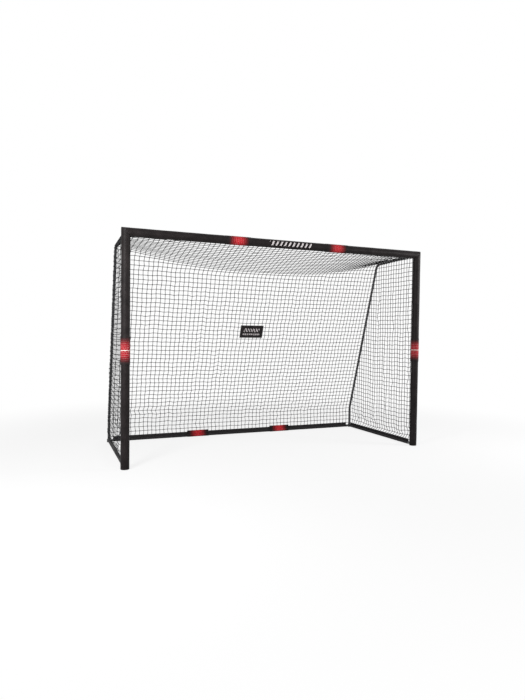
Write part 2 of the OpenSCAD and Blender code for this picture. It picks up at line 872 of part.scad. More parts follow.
// A sheet of strands: rows and columns of gaps on a surface given by at(u, v),
// folded at the stops
module net_sheet(columns, rows, wide, long, normal, stops, at) {
  w = strand_w / long;
  edge = edge_w / wide;
  us = strand_edges(columns, strand_w / wide, edge);
  v_edges = strand_edges(rows, w, w);
  vs = sorted(concat(v_edges, apart(stops, v_edges, long)));
  nu = len(us);
  nv = len(vs);
  side = [for (u = us, v = vs) at(2 * u - 1, v)];
  points = concat([for (p = side) p + normal * net_t / 2], [for (p = side) p - normal * net_t / 2]);
  top = function (a, b) a * nv + b;
  low = function (a, b) nu * nv + a * nv + b;
  solid = function (a, b)
    a >= 0 && b >= 0 && a < nu - 1 && b < nv - 1
      && !(a % 2 == 1 && in_gap(vs[b], vs[b + 1], rows, w, w));
  faces = [
    for (a = [0:nu - 2], b = [0:nv - 2]) if (solid(a, b)) each concat(
      two(top(a, b), top(a, b + 1), top(a + 1, b + 1), top(a + 1, b)),
      two(low(a, b), low(a + 1, b), low(a + 1, b + 1), low(a, b + 1)),
      solid(a - 1, b) ? [] : two(top(a, b), low(a, b), low(a, b + 1), top(a, b + 1)),
      solid(a + 1, b) ? [] : two(top(a + 1, b + 1), low(a + 1, b + 1), low(a + 1, b), top(a + 1, b)),
      solid(a, b - 1) ? [] : two(top(a + 1, b), low(a + 1, b), low(a, b), top(a, b)),
      solid(a, b + 1) ? [] : two(top(a, b + 1), low(a, b + 1), low(a + 1, b + 1), top(a + 1, b + 1))
    )
  ];
  polyhedron(points, faces);
}

// A four-sided face as two triangles
function two(a, b, c, d) = [[a, b, c], [a, c, d]];

module roof_net() {
  color(cord)
    net_sheet(back_columns, roof_rows, net_width, roof_len, [0, 0, 1], turns(roof_path), function (u, v) roof_point(u, v));
}

module back_net() {
  normal = [0, sin(-upright_angle), cos(upright_angle)];
  stops = concat(turns(back_path), [back_len - foot_hold]);
  color(cord)
    net_sheet(back_columns, back_rows, net_width, back_len, normal, stops, function (u, v) back_point(u, v));
}

// Lies on the mouth side of the back panel, along its slope
module net_label() {
  p = back_point(0, label_down / back_len);
  color(textile)
    translate(p)
      rotate([upright_angle, 0, 0])
        translate([-label_w / 2, -label_h / 2, -net_t / 2 - soft_gap - label_t])
          cube([label_w, label_h, label_t]);
}

// ---------- one line a node ----------

post_lower_tube(-1);  // left_post_lower_tube
post_upper_tube(-1);  // left_post_upper_tube
post_lower_tube(1);  // right_post_lower_tube
post_upper_tube(1);  // right_post_upper_tube
crossbar_end_tube(-1);  // crossbar_left_tube
crossbar_middle_tube();
crossbar_end_tube(1);  // crossbar_right_tube
corner_fitting(-1);  // left_corner_fitting
corner_fitting(1);  // right_corner_fitting
foot_plug(-1);  // left_foot_plug
foot_plug(1);  // right_foot_plug
post_lower_foam(-1);  // left_post_lower_foam
post_upper_foam(-1);  // left_post_upper_foam
post_lower_foam(1);  // right_post_lower_foam
post_upper_foam(1);  // right_post_upper_foam
crossbar_end_foam(-1);  // crossbar_left_foam
crossbar_middle_foam();
crossbar_end_foam(1);  // crossbar_right_foam
post_lower_cover(-1);  // left_post_lower_cover
post_upper_cover(-1);  // left_post_upper_cover
post_lower_cover(1);  // right_post_lower_cover
post_upper_cover(1);  // right_post_upper_cover
crossbar_end_cover(-1);  // crossbar_left_cover
crossbar_middle_cover();
crossbar_end_cover(1);  // crossbar_right_cover
post_cuff(-1);  // left_post_cuff
post_cuff(1);  // right_post_cuff
crossbar_cuff(-1);  // crossbar_left_cuff
crossbar_cuff(1);  // crossbar_right_cuff
top_brace(-1);  // left_top_brace
top_brace(1);  // right_top_brace
rear_upright(-1);  // left_rear_upright
rear_upright(1);  // right_rear_upright
ground_tube(-1);  // left_ground_tube
ground_tube(1);  // right_ground_tube
rear_end_tube(-1);  // rear_left_tube
rear_middle_tube();
rear_end_tube(1);  // rear_right_tube
rear_corner(-1);  // left_rear_corner
rear_corner(1);  // right_rear_corner
rear_cuff(-1);  // rear_left_cuff
rear_cuff(1);  // rear_right_cuff
back_net();
roof_net();
side_net(-1);  // left_net
side_net(1);  // right_net
side_hem(-1);  // left_hem
side_hem(1);  // right_hem
rear_hem();
net_label();
post_button(-1);  // left_post_button
post_button(1);  // right_post_button
crossbar_button(-1);  // crossbar_left_button
crossbar_button(1);  // crossbar_right_button
rear_button(-1);  // rear_left_button
rear_button(1);  // rear_right_button
upright_button(-1);  // left_upright_button
upright_button(1);  // right_upright_button
button_clips();
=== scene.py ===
# %% [markdown]
# # A free-standing football goal
#
# The goal has a front frame of steel tubes in thick black padding, two thin bent side frames, a ground frame
# and a net of 45 mm meshes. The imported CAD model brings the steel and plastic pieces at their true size. This
# lesson dresses it: textile sleeves and printed cuffs are modelled over the padding, the net is hung by a
# small physics loop, and every surface gets a procedural material.

import json
import math

import bmesh
import bpy
import numpy as np
from mathutils import Matrix, Vector


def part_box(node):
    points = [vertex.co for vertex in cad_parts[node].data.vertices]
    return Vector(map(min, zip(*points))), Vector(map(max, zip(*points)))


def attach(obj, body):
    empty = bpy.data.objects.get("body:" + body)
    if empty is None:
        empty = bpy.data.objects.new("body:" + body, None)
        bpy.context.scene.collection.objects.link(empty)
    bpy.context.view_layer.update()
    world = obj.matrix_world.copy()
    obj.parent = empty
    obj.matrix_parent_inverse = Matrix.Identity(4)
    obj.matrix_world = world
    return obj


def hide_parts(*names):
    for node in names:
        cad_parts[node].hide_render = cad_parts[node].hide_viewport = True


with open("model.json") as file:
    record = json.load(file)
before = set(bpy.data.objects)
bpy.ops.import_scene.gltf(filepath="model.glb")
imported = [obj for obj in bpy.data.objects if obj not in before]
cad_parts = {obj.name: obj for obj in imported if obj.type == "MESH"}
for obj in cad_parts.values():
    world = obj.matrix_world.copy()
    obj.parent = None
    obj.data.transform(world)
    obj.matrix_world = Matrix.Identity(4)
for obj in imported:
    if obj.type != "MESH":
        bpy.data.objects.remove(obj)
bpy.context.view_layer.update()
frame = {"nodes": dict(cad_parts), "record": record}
print("CAD nodes:", len(frame["nodes"]))

# %% [markdown]
# ## Sizes taken from the frame
#
# Every place below comes from the boxes of CAD nodes, so a piece can't drift away from what carries it. Only
# the bends of the side frames and the fine sizes of cord and cloth are written here, in metres.

# %% Places of the frame
MM = 0.001


def centre_and_radius(node, axis):
    """Middle of a round node, and its radius across the given axis."""
    low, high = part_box(node)
    return (low + high) / 2, (high[axis] - low[axis]) / 2


post_middle, pad_r = centre_and_radius("right_post_upper_cover", 1)
lower_pad_r = centre_and_radius("right_post_lower_cover", 1)[1]
cuff_r = centre_and_radius("right_post_cuff", 0)[1]
beam_middle = centre_and_radius("crossbar_middle_cover", 2)[0]
rear_middle, tube_r = centre_and_radius("rear_middle_tube", 2)
rear_block_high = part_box("right_rear_corner")[1]

front_y = post_middle.y
beam_z = beam_middle.z
ground_z = rear_middle.z
rear_y = rear_middle.y
block_r = rear_block_high.y - rear_y
rear_x = rear_block_high.x - block_r
post_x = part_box("right_post_upper_tube")[0].x + centre_and_radius("right_post_upper_tube", 1)[1]

TOP_BEND = (0.690, beam_z - 0.028)
TOP_BEND_R = 0.070
LOWER_BEND_Z = 0.240
LOWER_BEND_R = 0.090

side_depth = math.hypot(post_x - rear_x, rear_y - front_y)
toe = math.asin((post_x - rear_x) / side_depth)
print(f"posts at x {post_x:.3f}, crossbar at z {beam_z:.3f}, side frames {side_depth:.3f} deep")

# %% [markdown]
# ## The plane of a side frame
#
# A side frame is flat: a brace runs back from the corner, bends down, slopes to the rear and bends again above
# the ground. The net follows this line, so it is worked out once in the frame's own plane, as distance behind
# the post and height, and placed on either side with a small turn.

# %% The side frame's line
def direction(angle):
    return np.array([math.cos(angle), math.sin(angle)])


def bend(corner, radius, turn_from, turn_to, out, steps=8):
    """Points round a bend that turns down, at a distance out from the tube's axis."""
    run = radius * math.tan((turn_from - turn_to) / 2)
    middle = corner - run * direction(turn_from) + radius * direction(turn_from - math.pi / 2)
    angles = np.linspace(turn_from, turn_to, steps + 1) + math.pi / 2
    return [middle + (radius + out) * direction(a) for a in angles]


def frame_line(out, y_front, z_foot):
    """The side frame's axis moved outwards, from behind the post to just above the ground."""
    start = np.array([0.0, beam_z])
    top = np.array(TOP_BEND)
    low = np.array([side_depth, LOWER_BEND_Z])
    brace = math.atan2(*(top - start)[::-1])
    slope = math.atan2(*(low - top)[::-1])
    first = start + y_front * direction(brace) + out * direction(brace + math.pi / 2)
    line = [first]
    line += bend(top, TOP_BEND_R, brace, slope, out)
    line += bend(low, LOWER_BEND_R, slope, -math.pi / 2, out)
    line += [np.array([side_depth + out, z_foot])]
    return np.array(line)


def in_side_plane(side, out, back, up):
    """A point of the left (-1) or right (1) side frame's plane in the goal's own frame."""
    across = post_x + out * math.cos(toe) - back * math.sin(toe)
    along = front_y + out * math.sin(toe) + back * math.cos(toe)
    return np.stack(np.broadcast_arrays(side * across, along, up), axis=-1)


def at_places(line, reached, places):
    """Points of a line at given distances, where reached says how far along the line its own points lie."""
    return np.stack([np.interp(places, reached, line[:, k]) for k in range(line.shape[1])], axis=1)


def evenly(line, count):
    """Points at equal distances along a line, and its length."""
    steps = np.linalg.norm(np.diff(line, axis=0), axis=1)
    reached = np.concatenate([[0], np.cumsum(steps)])
    return at_places(line, reached, np.linspace(0, reached[-1], count)), reached[-1]


# %% [markdown]
# ## Camera
#
# The camera comes first, because it decides what is seen. It stands five metres off, left of the goal and at
# chest height, and looks a little to the right. A hair of lens shift puts the goal's middle where it belongs.

# %% Camera
CAMERA_PLACE = (-2.169, front_y - 4.650, 1.159)
YAW, PITCH, ROLL = 0.3994, -0.0325, 0.0124
LENS_MM, LENS_SHIFT = 28.44, (-0.0044, -0.0005)

bpy.ops.object.select_all(action="DESELECT")
bpy.ops.object.camera_add(location=CAMERA_PLACE)
camera = bpy.context.object
camera.name = "camera"
tilt = Matrix.Rotation(math.pi / 2 + PITCH, 3, "X")
turn = Matrix.Rotation(-YAW, 3, "Z") @ tilt @ Matrix.Rotation(ROLL, 3, "Z")
camera.rotation_euler = turn.to_euler()
camera.data.lens = LENS_MM
camera.data.shift_x, camera.data.shift_y = LENS_SHIFT
bpy.context.scene.camera = camera

# %% [markdown]
# ## Materials
#
# Each finish is a small node graph. One helper opens a material and hands back its nodes, and another adds a
# node with its inputs already set, so that every recipe below reads like a list of ingredients. Patterns that
# follow a surface read the piece's own UV map, which is laid out in metres.

# %% Material helpers
def open_material(name, base, roughness, sheen=0.0, metallic=0.0, specular=0.5):
    material = bpy.data.materials.new(name)
    material.use_nodes = True
    tree = material.node_tree
    shader = tree.nodes["Principled BSDF"]
    shader.inputs["Base Color"].default_value = (*base, 1)
    shader.inputs["Roughness"].default_value = roughness
    shader.inputs["Metallic"].default_value = metallic
    shader.inputs["Sheen Weight"].default_value = sheen
    shader.inputs["Specular IOR Level"].default_value = specular
    return material, tree, shader


def add_node(tree, kind, settings=None, **inputs):
    """A node with its own settings, and inputs that are values or other nodes' outputs."""
    node = tree.nodes.new(kind)
    for key, value in (settings or {}).items():
        setattr(node, key, value)
    for key, value in inputs.items():
        socket = node.inputs[int(key[1:]) if key[0] == "i" and key[1:].isdigit() else key.replace("_", " ")]
        if isinstance(value, bpy.types.NodeSocket):
            tree.links.new(value, socket)
        else:
            socket.default_value = value
    return node


def math_node(tree, operation, first, second=0.0, third=0.0):
    node = add_node(tree, "ShaderNodeMath", {"operation": operation}, i0=first, i1=second, i2=third)
    return node.outputs[0]


def product(tree, first, *others):
    for other in others:
        first = math_node(tree, "MULTIPLY", first, other)
    return first


def mix_colours(tree, share, first, second):
    node = add_node(tree, "ShaderNodeMix", {"data_type": "RGBA"}, i0=share, i6=first, i7=second)
    return node.outputs[2]


def noise(tree, vector, scale, detail=3.0):
    return add_node(tree, "ShaderNodeTexNoise", Vector=vector, Scale=scale, Detail=detail).outputs["Fac"]


def object_place(tree):
    return add_node(tree, "ShaderNodeTexCoord").outputs["Object"]


def surface_place(tree):
    """Across and along the cloth, in metres, from the piece's UV map."""
    uv = add_node(tree, "ShaderNodeTexCoord").outputs["UV"]
    split = add_node(tree, "ShaderNodeSeparateXYZ", Vector=uv)
    return split.outputs["X"], split.outputs["Y"]


def mottle(tree, scale, dark, light):
    """Two shades of one finish in soft patches."""
    return mix_colours(tree, noise(tree, object_place(tree), scale), dark, light)


def paint(tree, shader, colour):
    tree.links.new(colour, shader.inputs["Base Color"])


def bump(tree, shader, height, strength, distance):
    node = add_node(tree, "ShaderNodeBump", Height=height, Strength=strength, Distance=distance)
    tree.links.new(node.outputs["Normal"], shader.inputs["Normal"])


def make_grained(name, base, roughness, patches, grain, **finish):
    """A plain finish. patches are scale, dark and light shade; grain is scale, detail, strength and depth."""
    material, tree, shader = open_material(name, base, roughness, **finish)
    paint(tree, shader, mottle(tree, *patches))
    scale, detail, strength, depth = grain
    bump(tree, shader, noise(tree, object_place(tree), scale, detail), strength, depth)
    return material, tree, shader


def stripes(tree, place, pitch):
    """A smooth wave from 0 to 1 with the given pitch in metres."""
    angle = math_node(tree, "MULTIPLY", place, 2 * math.pi / pitch)
    wave = math_node(tree, "SINE", angle)
    return math_node(tree, "MULTIPLY_ADD", wave, 0.5, 0.5)


def weave(tree, across, along, pitch):
    """Height of a plain weave: two families of threads that pass over each other."""
    return product(tree, stripes(tree, across, pitch), stripes(tree, along, pitch))


def slanted_bars(tree, across, along, pitch, lean, share):
    """1 on bars that lean over, 0 between them."""
    slid = math_node(tree, "MULTIPLY_ADD", across, lean, along)
    turn_share = math_node(tree, "FRACT", math_node(tree, "DIVIDE", slid, pitch))
    return math_node(tree, "LESS_THAN", turn_share, share)


def field(tree, across, along, width, height):
    """1 inside a rectangle of the cloth; width and height are its lowest and highest place."""
    sides = []
    for place, (low, high) in ((across, width), (along, height)):
        sides += [math_node(tree, "GREATER_THAN", place, low), math_node(tree, "LESS_THAN", place, high)]
    return product(tree, *sides)


# %% [markdown]
# ### Sleeve textile
#
# The padding is covered by a black polyester weave, a little warm in tone and half matt. Its threads are two
# families of waves on the UV map, which keeps their pitch the same on every piece. They give the bump, a slow
# noise varies the colour between fresh and worn cloth, and a trace of sheen lifts the edges. The specular level
# is low, because black cloth mirrors a white room far less than paint would. The middle of the crossbar also
# carries a row of pale slanted bars on its front.

# %% Sleeve textile
CHARCOAL = (0.0105, 0.0086, 0.0088, 1)
CHARCOAL_WORN = (0.0190, 0.0155, 0.0158, 1)
WEAVE_PITCH = 1.4 * MM
SLEEVE_GLOSS = {"roughness": 0.5, "sheen": 0.02, "specular": 0.07}
BEAM_BARS = {"pitch": 42 * MM, "lean": 0.5, "share": 0.42}
BEAM_MARK = {"width": (-21 * MM, 21 * MM), "height": (-190 * MM, 240 * MM)}
BEAM_PALE = (0.66, 0.62, 0.62, 1)


def ramp(tree, value, at_low, at_high, low=0.0, high=1.0, **settings):
    """Goes from low to high while the value goes from at_low to at_high."""
    return add_node(
        tree, "ShaderNodeMapRange", settings, Value=value, i1=at_low, i2=at_high, i3=low, i4=high).outputs[0]


def textile_colour(tree):
    worn = ramp(tree, noise(tree, object_place(tree), 14.0, 5.0), 0.35, 0.7)
    return mix_colours(tree, worn, CHARCOAL, CHARCOAL_WORN)


def textile_relief(tree, shader, across, along):
    threads = weave(tree, across, along, WEAVE_PITCH)
    folds = noise(tree, object_place(tree), 22.0, 2.0)
    height = math_node(tree, "MULTIPLY_ADD", folds, 3.0, threads)
    bump(tree, shader, height, 0.35, 0.4 * MM)


def make_sleeve_textile(name, marked):
    material, tree, shader = open_material(name, CHARCOAL[:3], **SLEEVE_GLOSS)
    across, along = surface_place(tree)
    cloth = textile_colour(tree)
    if marked:
        bars = slanted_bars(tree, across, along, **BEAM_BARS)
        shown = product(tree, bars, field(tree, across, along, **BEAM_MARK))
        cloth = mix_colours(tree, shown, cloth, BEAM_PALE)
    paint(tree, shader, cloth)
    textile_relief(tree, shader, across, along)
    return material


sleeve_textile = make_sleeve_textile("sleeve_weave", marked=False)
marked_sleeve = make_sleeve_textile("sleeve_weave_marked", marked=True)


# %% [markdown]
# ### Printed band
#
# The cuffs carry a red print that fades to black at both ends. The fade is a smooth step of the distance from
# the band's middle, broken up by rings that get clearer outwards. Thin pale rings lie in the red. The cuffs on
# the posts also have one clear pale ring in the middle, and a deeper red than those of the crossbar.

# %% Printed band
BAR_RED = (0.64, 0.020, 0.032, 1)
POST_RED = (0.40, 0.016, 0.026, 1)
DEEPER = 0.6
PALE_PINK = (0.86, 0.62, 0.58, 1)
PALE_RING = (0.78, 0.72, 0.66, 1)
RING_PITCH = 17.0 * MM


def make_printed_textile(name, red, full_to, gone_at, shine, ring_r=0.0):
    """Cloth with a red band, full up to full_to from the cuff's middle and gone at gone_at, in metres."""
    material, tree, shader = open_material(name, red[:3], **SLEEVE_GLOSS)
    across, along = surface_place(tree)
    distance = math_node(tree, "ABSOLUTE", along)
    inside = ramp(tree, distance, gone_at, full_to, interpolation_type="SMOOTHSTEP")
    rings = product(tree, stripes(tree, along, RING_PITCH), math_node(tree, "SUBTRACT", 1.0, inside))
    red_share = product(tree, inside, math_node(tree, "MULTIPLY_ADD", rings, -0.6, 1.0))
    deep = tuple(DEEPER * part for part in red[:3]) + (1,)
    mottled = mix_colours(tree, noise(tree, object_place(tree), 60.0, 4.0), deep, red)
    cloth = mix_colours(tree, red_share, textile_colour(tree), mottled)
    fine = math_node(tree, "GREATER_THAN", stripes(tree, along, RING_PITCH), 0.93)
    cloth = mix_colours(tree, product(tree, fine, red_share, shine), cloth, PALE_PINK)
    if ring_r:
        cloth = mix_colours(tree, math_node(tree, "LESS_THAN", distance, ring_r), cloth, PALE_RING)
    paint(tree, shader, cloth)
    textile_relief(tree, shader, across, along)
    return material


post_print = make_printed_textile(
    "post_cuff_print", POST_RED, full_to=0.030, gone_at=0.112, shine=0.30, ring_r=2.6 * MM)
bar_print = make_printed_textile("crossbar_cuff_print", BAR_RED, full_to=0.012, gone_at=0.100, shine=0.25)
rear_print = make_printed_textile("rear_cuff_print", BAR_RED, full_to=0.010, gone_at=0.104, shine=0.15)

# %% [markdown]
# ### Net, hems and label
#
# The net's cord is a thin black braid, almost without gloss. The hems are a coarser black band with a row of
# stitches. The label's print is generic: slanted bars over a row of dashes, a little worn.

# %% Net, hem and label materials
STITCHES_AT = 30 * MM
STITCH_R = 0.6 * MM
STITCH_GREY = (0.09, 0.09, 0.095, 1)
LABEL_BARS = {"pitch": 30 * MM, "lean": 0.55, "share": 0.5}
LABEL_MARK = {"width": (-88 * MM, 88 * MM), "height": (-2 * MM, 34 * MM)}
LABEL_RULE = {"width": (-96 * MM, 96 * MM), "height": (-40 * MM, -22 * MM)}
LABEL_PALE = (0.62, 0.57, 0.58, 1)

net_cord = make_grained(
    "net_braid", (0.012, 0.012, 0.013), 0.75, specular=0.1,
    patches=(30.0, (0.008, 0.008, 0.009, 1), (0.020, 0.020, 0.022, 1)), grain=(900.0, 1.0, 0.5, 0.3 * MM))[0]

hem_textile, tree, shader = open_material(
    "hem_weave", (0.020, 0.019, 0.020), 0.68, sheen=0.02, specular=0.12)
across, along = surface_place(tree)
shade = mottle(tree, 25.0, (0.012, 0.011, 0.012, 1), (0.026, 0.024, 0.025, 1))
from_row = math_node(tree, "ABSOLUTE", math_node(tree, "SUBTRACT", across, STITCHES_AT))
dash = math_node(tree, "GREATER_THAN", stripes(tree, along, 5.0 * MM), 0.35)
stitch = product(tree, math_node(tree, "LESS_THAN", from_row, STITCH_R), dash)
paint(tree, shader, mix_colours(tree, stitch, shade, STITCH_GREY))
height = math_node(tree, "MULTIPLY_ADD", stitch, -2.0, weave(tree, across, along, 1.8 * MM))
bump(tree, shader, height, 0.4, 0.5 * MM)

label_textile, tree, shader = open_material("label_weave", CHARCOAL[:3], 0.6, sheen=0.03, specular=0.15)
across, along = surface_place(tree)
upper = product(tree, field(tree, across, along, **LABEL_MARK), slanted_bars(tree, along, across, **LABEL_BARS))
dashes = math_node(tree, "GREATER_THAN", stripes(tree, across, 24 * MM), 0.25)
pale = math_node(tree, "MAXIMUM", upper, product(tree, field(tree, across, along, **LABEL_RULE), dashes))
worn = product(tree, pale, ramp(tree, noise(tree, object_place(tree), 90.0), 0.3, 0.6, 0.55, 1.0))
paint(tree, shader, mix_colours(tree, worn, textile_colour(tree), LABEL_PALE))
textile_relief(tree, shader, across, along)

# %% [markdown]
# ### Coated steel, plastic, foam and zinc
#
# The tubes are powder coated: satin black with the faint waves of baked powder. The corner blocks and plugs
# are moulded with a fine grain. Foam and the zinc-plated buttons are mostly hidden, yet they are finished too.

# %% Hard materials
powder_coat, tree, shader = make_grained(
    "powder_coat", (0.022, 0.022, 0.025), 0.38,
    patches=(18.0, (0.017, 0.017, 0.019, 1), (0.034, 0.034, 0.038, 1)), grain=(500.0, 2.0, 0.25, 0.15 * MM))
gloss = ramp(tree, noise(tree, object_place(tree), 40.0), 0.3, 0.7, 0.3, 0.5)
tree.links.new(gloss, shader.inputs["Roughness"])
moulded_plastic = make_grained(
    "moulded_black", (0.024, 0.024, 0.026), 0.55,
    patches=(35.0, (0.018, 0.018, 0.020, 1), (0.036, 0.036, 0.038, 1)), grain=(1400.0, 2.0, 0.4, 0.1 * MM))[0]
zinc = make_grained(
    "zinc_plate", (0.30, 0.30, 0.32), 0.35, metallic=1.0,
    patches=(120.0, (0.16, 0.16, 0.17, 1), (0.36, 0.36, 0.38, 1)), grain=(900.0, 3.0, 0.2, 0.1 * MM))[0]

foam, tree, shader = open_material("closed_cell_foam", (0.10, 0.10, 0.11), 0.85)
cells = add_node(tree, "ShaderNodeTexVoronoi", Vector=object_place(tree), Scale=450.0).outputs["Distance"]
paint(tree, shader, mix_colours(tree, cells, (0.06, 0.06, 0.065, 1), (0.15, 0.15, 0.16, 1)))
bump(tree, shader, cells, 0.6, 0.5 * MM)

# %% [markdown]
# ## Finish of the CAD pieces
#
# The steel, plastic and foam pieces keep their CAD meshes. Each takes the material of its slot in the record.

# %% Dress the CAD pieces
SLOT_MATERIALS = {
    "coated_steel": powder_coat, "zinc_steel": zinc, "moulded_plastic": moulded_plastic, "foam": foam,
    "sleeve_textile": sleeve_textile, "printed_textile": post_print, "hem_textile": hem_textile,
    "net_cord": net_cord, "label_textile": label_textile,
}
for part in frame["record"]["subparts"]:
    node = frame["nodes"][part["node"]]
    node.data.materials.clear()
    node.data.materials.append(SLOT_MATERIALS[part["material_slot"]])

# %% [markdown]
# ## Helpers for modelling
#
# Blender's operators act on what is selected, so each piece starts from a clean selection. In edit mode, faces
# and edges are picked in code by where they lie.

# %% Modelling helpers
def start_piece():
    bpy.ops.object.select_all(action="DESELECT")


def finish_place(name):
    """Names the new piece and moves its place into its mesh."""
    piece = bpy.context.object
    piece.name = name
    piece.data.name = name
    bpy.ops.object.transform_apply(location=True, rotation=True, scale=True)
    return piece


def add_cylinder(name, start, end, radius, sides, ends="NGON"):
    """A cylinder from start to end, with its place in its mesh."""
    axis = end - start
    start_piece()
    bpy.ops.mesh.primitive_cylinder_add(
        vertices=sides, radius=radius, depth=axis.length, end_fill_type=ends,
        location=(start + end) / 2, rotation=axis.to_track_quat("Z", "X").to_euler())
    return finish_place(name)


def pick(piece, kind, wanted):
    """In edit mode, selects only the vertices, edges or faces for which wanted() is true."""
    bpy.context.tool_settings.mesh_select_mode = (kind == "verts", kind == "edges", kind == "faces")
    cage = bmesh.from_edit_mesh(piece.data)
    for group in (cage.verts, cage.edges, cage.faces):
        for item in group:
            item.select = False
    for item in getattr(cage, kind):
        if wanted(item):
            item.select_set(True)
    bmesh.update_edit_mesh(piece.data)


def edge_direction(edge):
    return (edge.verts[1].co - edge.verts[0].co).normalized()


def cut_into_rings(piece, axis, cuts):
    """In edit mode, subdivides the edges that run along the axis."""
    pick(piece, "edges", lambda e: abs(edge_direction(e).dot(axis)) > 0.999)
    bpy.ops.mesh.subdivide(number_cuts=cuts)


def raise_faces(piece, wanted, rise):
    """In edit mode, lifts the wanted faces off the surface."""
    pick(piece, "faces", wanted)
    bpy.ops.mesh.extrude_region_shrink_fatten(TRANSFORM_OT_shrink_fatten={"value": rise})


def apply_modifier(piece, kind, **settings):
    bpy.context.view_layer.objects.active = piece
    bpy.ops.object.modifier_add(type=kind)
    modifier = piece.modifiers[-1]
    for key, value in settings.items():
        setattr(modifier, key, value)
    bpy.ops.object.modifier_apply(modifier=modifier.name)


def lumps(name, size):
    """A soft cloud texture that pushes cloth in and out."""
    texture = bpy.data.textures.new(name, "CLOUDS")
    texture.noise_scale = size
    texture.noise_depth = 1
    return texture


foam_lumps = lumps("foam_lumps", 0.09)
cloth_creases = lumps("cloth_creases", 0.03)


def make_uneven(piece, texture, height):
    apply_modifier(piece, "DISPLACE", texture=texture, texture_coords="LOCAL", strength=height, mid_level=0.5)


def smooth(degrees=50):
    """Rounds the look of the piece that was just made, except across edges sharper than this."""
    bpy.ops.object.shade_smooth_by_angle(angle=math.radians(degrees))


def wrap_uv(piece, origin, axis, front):
    """Lays a UV map in metres: u round the axis from the front direction, v along the axis from the origin."""
    origin, axis, front = Vector(origin), Vector(axis).normalized(), Vector(front).normalized()
    side = axis.cross(front)
    layer = piece.data.uv_layers.active or piece.data.uv_layers.new(name="cloth")
    for face in piece.data.polygons:
        middle = face.center - origin
        base = math.atan2(middle.dot(side), middle.dot(front))
        for loop in face.loop_indices:
            place = piece.data.vertices[piece.data.loops[loop].vertex_index].co - origin
            angle = math.atan2(place.dot(side), place.dot(front))
            angle += 2 * math.pi * round((base - angle) / (2 * math.pi))
            radius = math.hypot(place.dot(side), place.dot(front))
            layer.data[loop].uv = (angle * radius, place.dot(axis))


def dress(piece, material, slot, *nodes):
    """Gives a piece its material and body, and hides the CAD nodes that it stands for. The slot is not used."""
    piece.data.materials.clear()
    piece.data.materials.append(material)
    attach(piece, "frame")
    if nodes:
        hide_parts(*nodes)
    print(f"{piece.name}: {len(piece.data.polygons)} faces")


# %% [markdown]
# ## Sleeves over the foam
#
# On the real goal a textile sleeve is pulled round each foam tube and closed at the back with a flat strip.
# One could turn a lathe profile, but the corners are mitred, so a cylinder that is cut and shaped in edit mode
# is simpler. Its long edges are subdivided into rings, the end rims are bevelled as stuffed cloth rounds them,
# the closing strip is extruded from the faces at the back, and a cloud texture makes the foam a little uneven.

# %% Model a sleeve
SLEEVE_SIDES = 56
RING_STEP = 0.028
RIM = 4.0 * MM
SEAM_HALF_ANGLE = math.radians(17)
SEAM_RISE = 0.9 * MM
SMALLEST_SEAM_FACE = 60 * MM ** 2
FOAM_UNEVEN = 1.6 * MM
BACK = Vector((0, 1, 0))


def make_sleeve(name, start, end, radius, cut=None):
    """A stuffed sleeve from start to end; cut is (place, normal) of a mitre that takes off the far side."""
    start, end = Vector(start), Vector(end)
    axis = (end - start).normalized()
    sleeve = add_cylinder(name, start, end, radius, SLEEVE_SIDES)
    bpy.ops.object.mode_set(mode="EDIT")
    if cut:
        bpy.ops.mesh.select_all(action="SELECT")
        bpy.ops.mesh.bisect(plane_co=cut[0], plane_no=cut[1], use_fill=True, clear_outer=True)
    cut_into_rings(sleeve, axis, int((end - start).length / RING_STEP))
    pick(sleeve, "edges", lambda e: any(len(f.verts) > 4 for f in e.link_faces) and len(e.link_faces) == 2)
    bpy.ops.mesh.bevel(offset=RIM, segments=3, profile=0.6)

    def at_the_back(face):
        faces_back = face.normal.dot(BACK) > math.cos(SEAM_HALF_ANGLE)
        return faces_back and len(face.verts) == 4 and face.calc_area() > SMALLEST_SEAM_FACE

    raise_faces(sleeve, at_the_back, SEAM_RISE)
    bpy.ops.object.mode_set(mode="OBJECT")
    make_uneven(sleeve, foam_lumps, FOAM_UNEVEN)
    smooth()
    return sleeve


joint_z = (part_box("right_post_lower_cover")[1].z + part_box("right_post_upper_cover")[0].z) / 2
joint_x = (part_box("crossbar_middle_cover")[1].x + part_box("crossbar_right_cover")[0].x) / 2
CLOTH_GAP = 0.3 * MM
ROOM_FOR_LUMPS = 0.4 * MM


def dress_sleeve(name, start, end, radius, node, material, cut=None):
    """Makes a sleeve on the line from start to end, lays its cloth and puts it in a node's place."""
    sleeve = make_sleeve(name, start, end, radius - ROOM_FOR_LUMPS, cut)
    if start[2] == end[2]:
        wrap_uv(sleeve, (0, front_y, beam_z), (1, 0, 0), -BACK)
    else:
        wrap_uv(sleeve, (start[0], front_y, 0), (0, 0, 1), -BACK)
    dress(sleeve, material, "sleeve_textile", node)


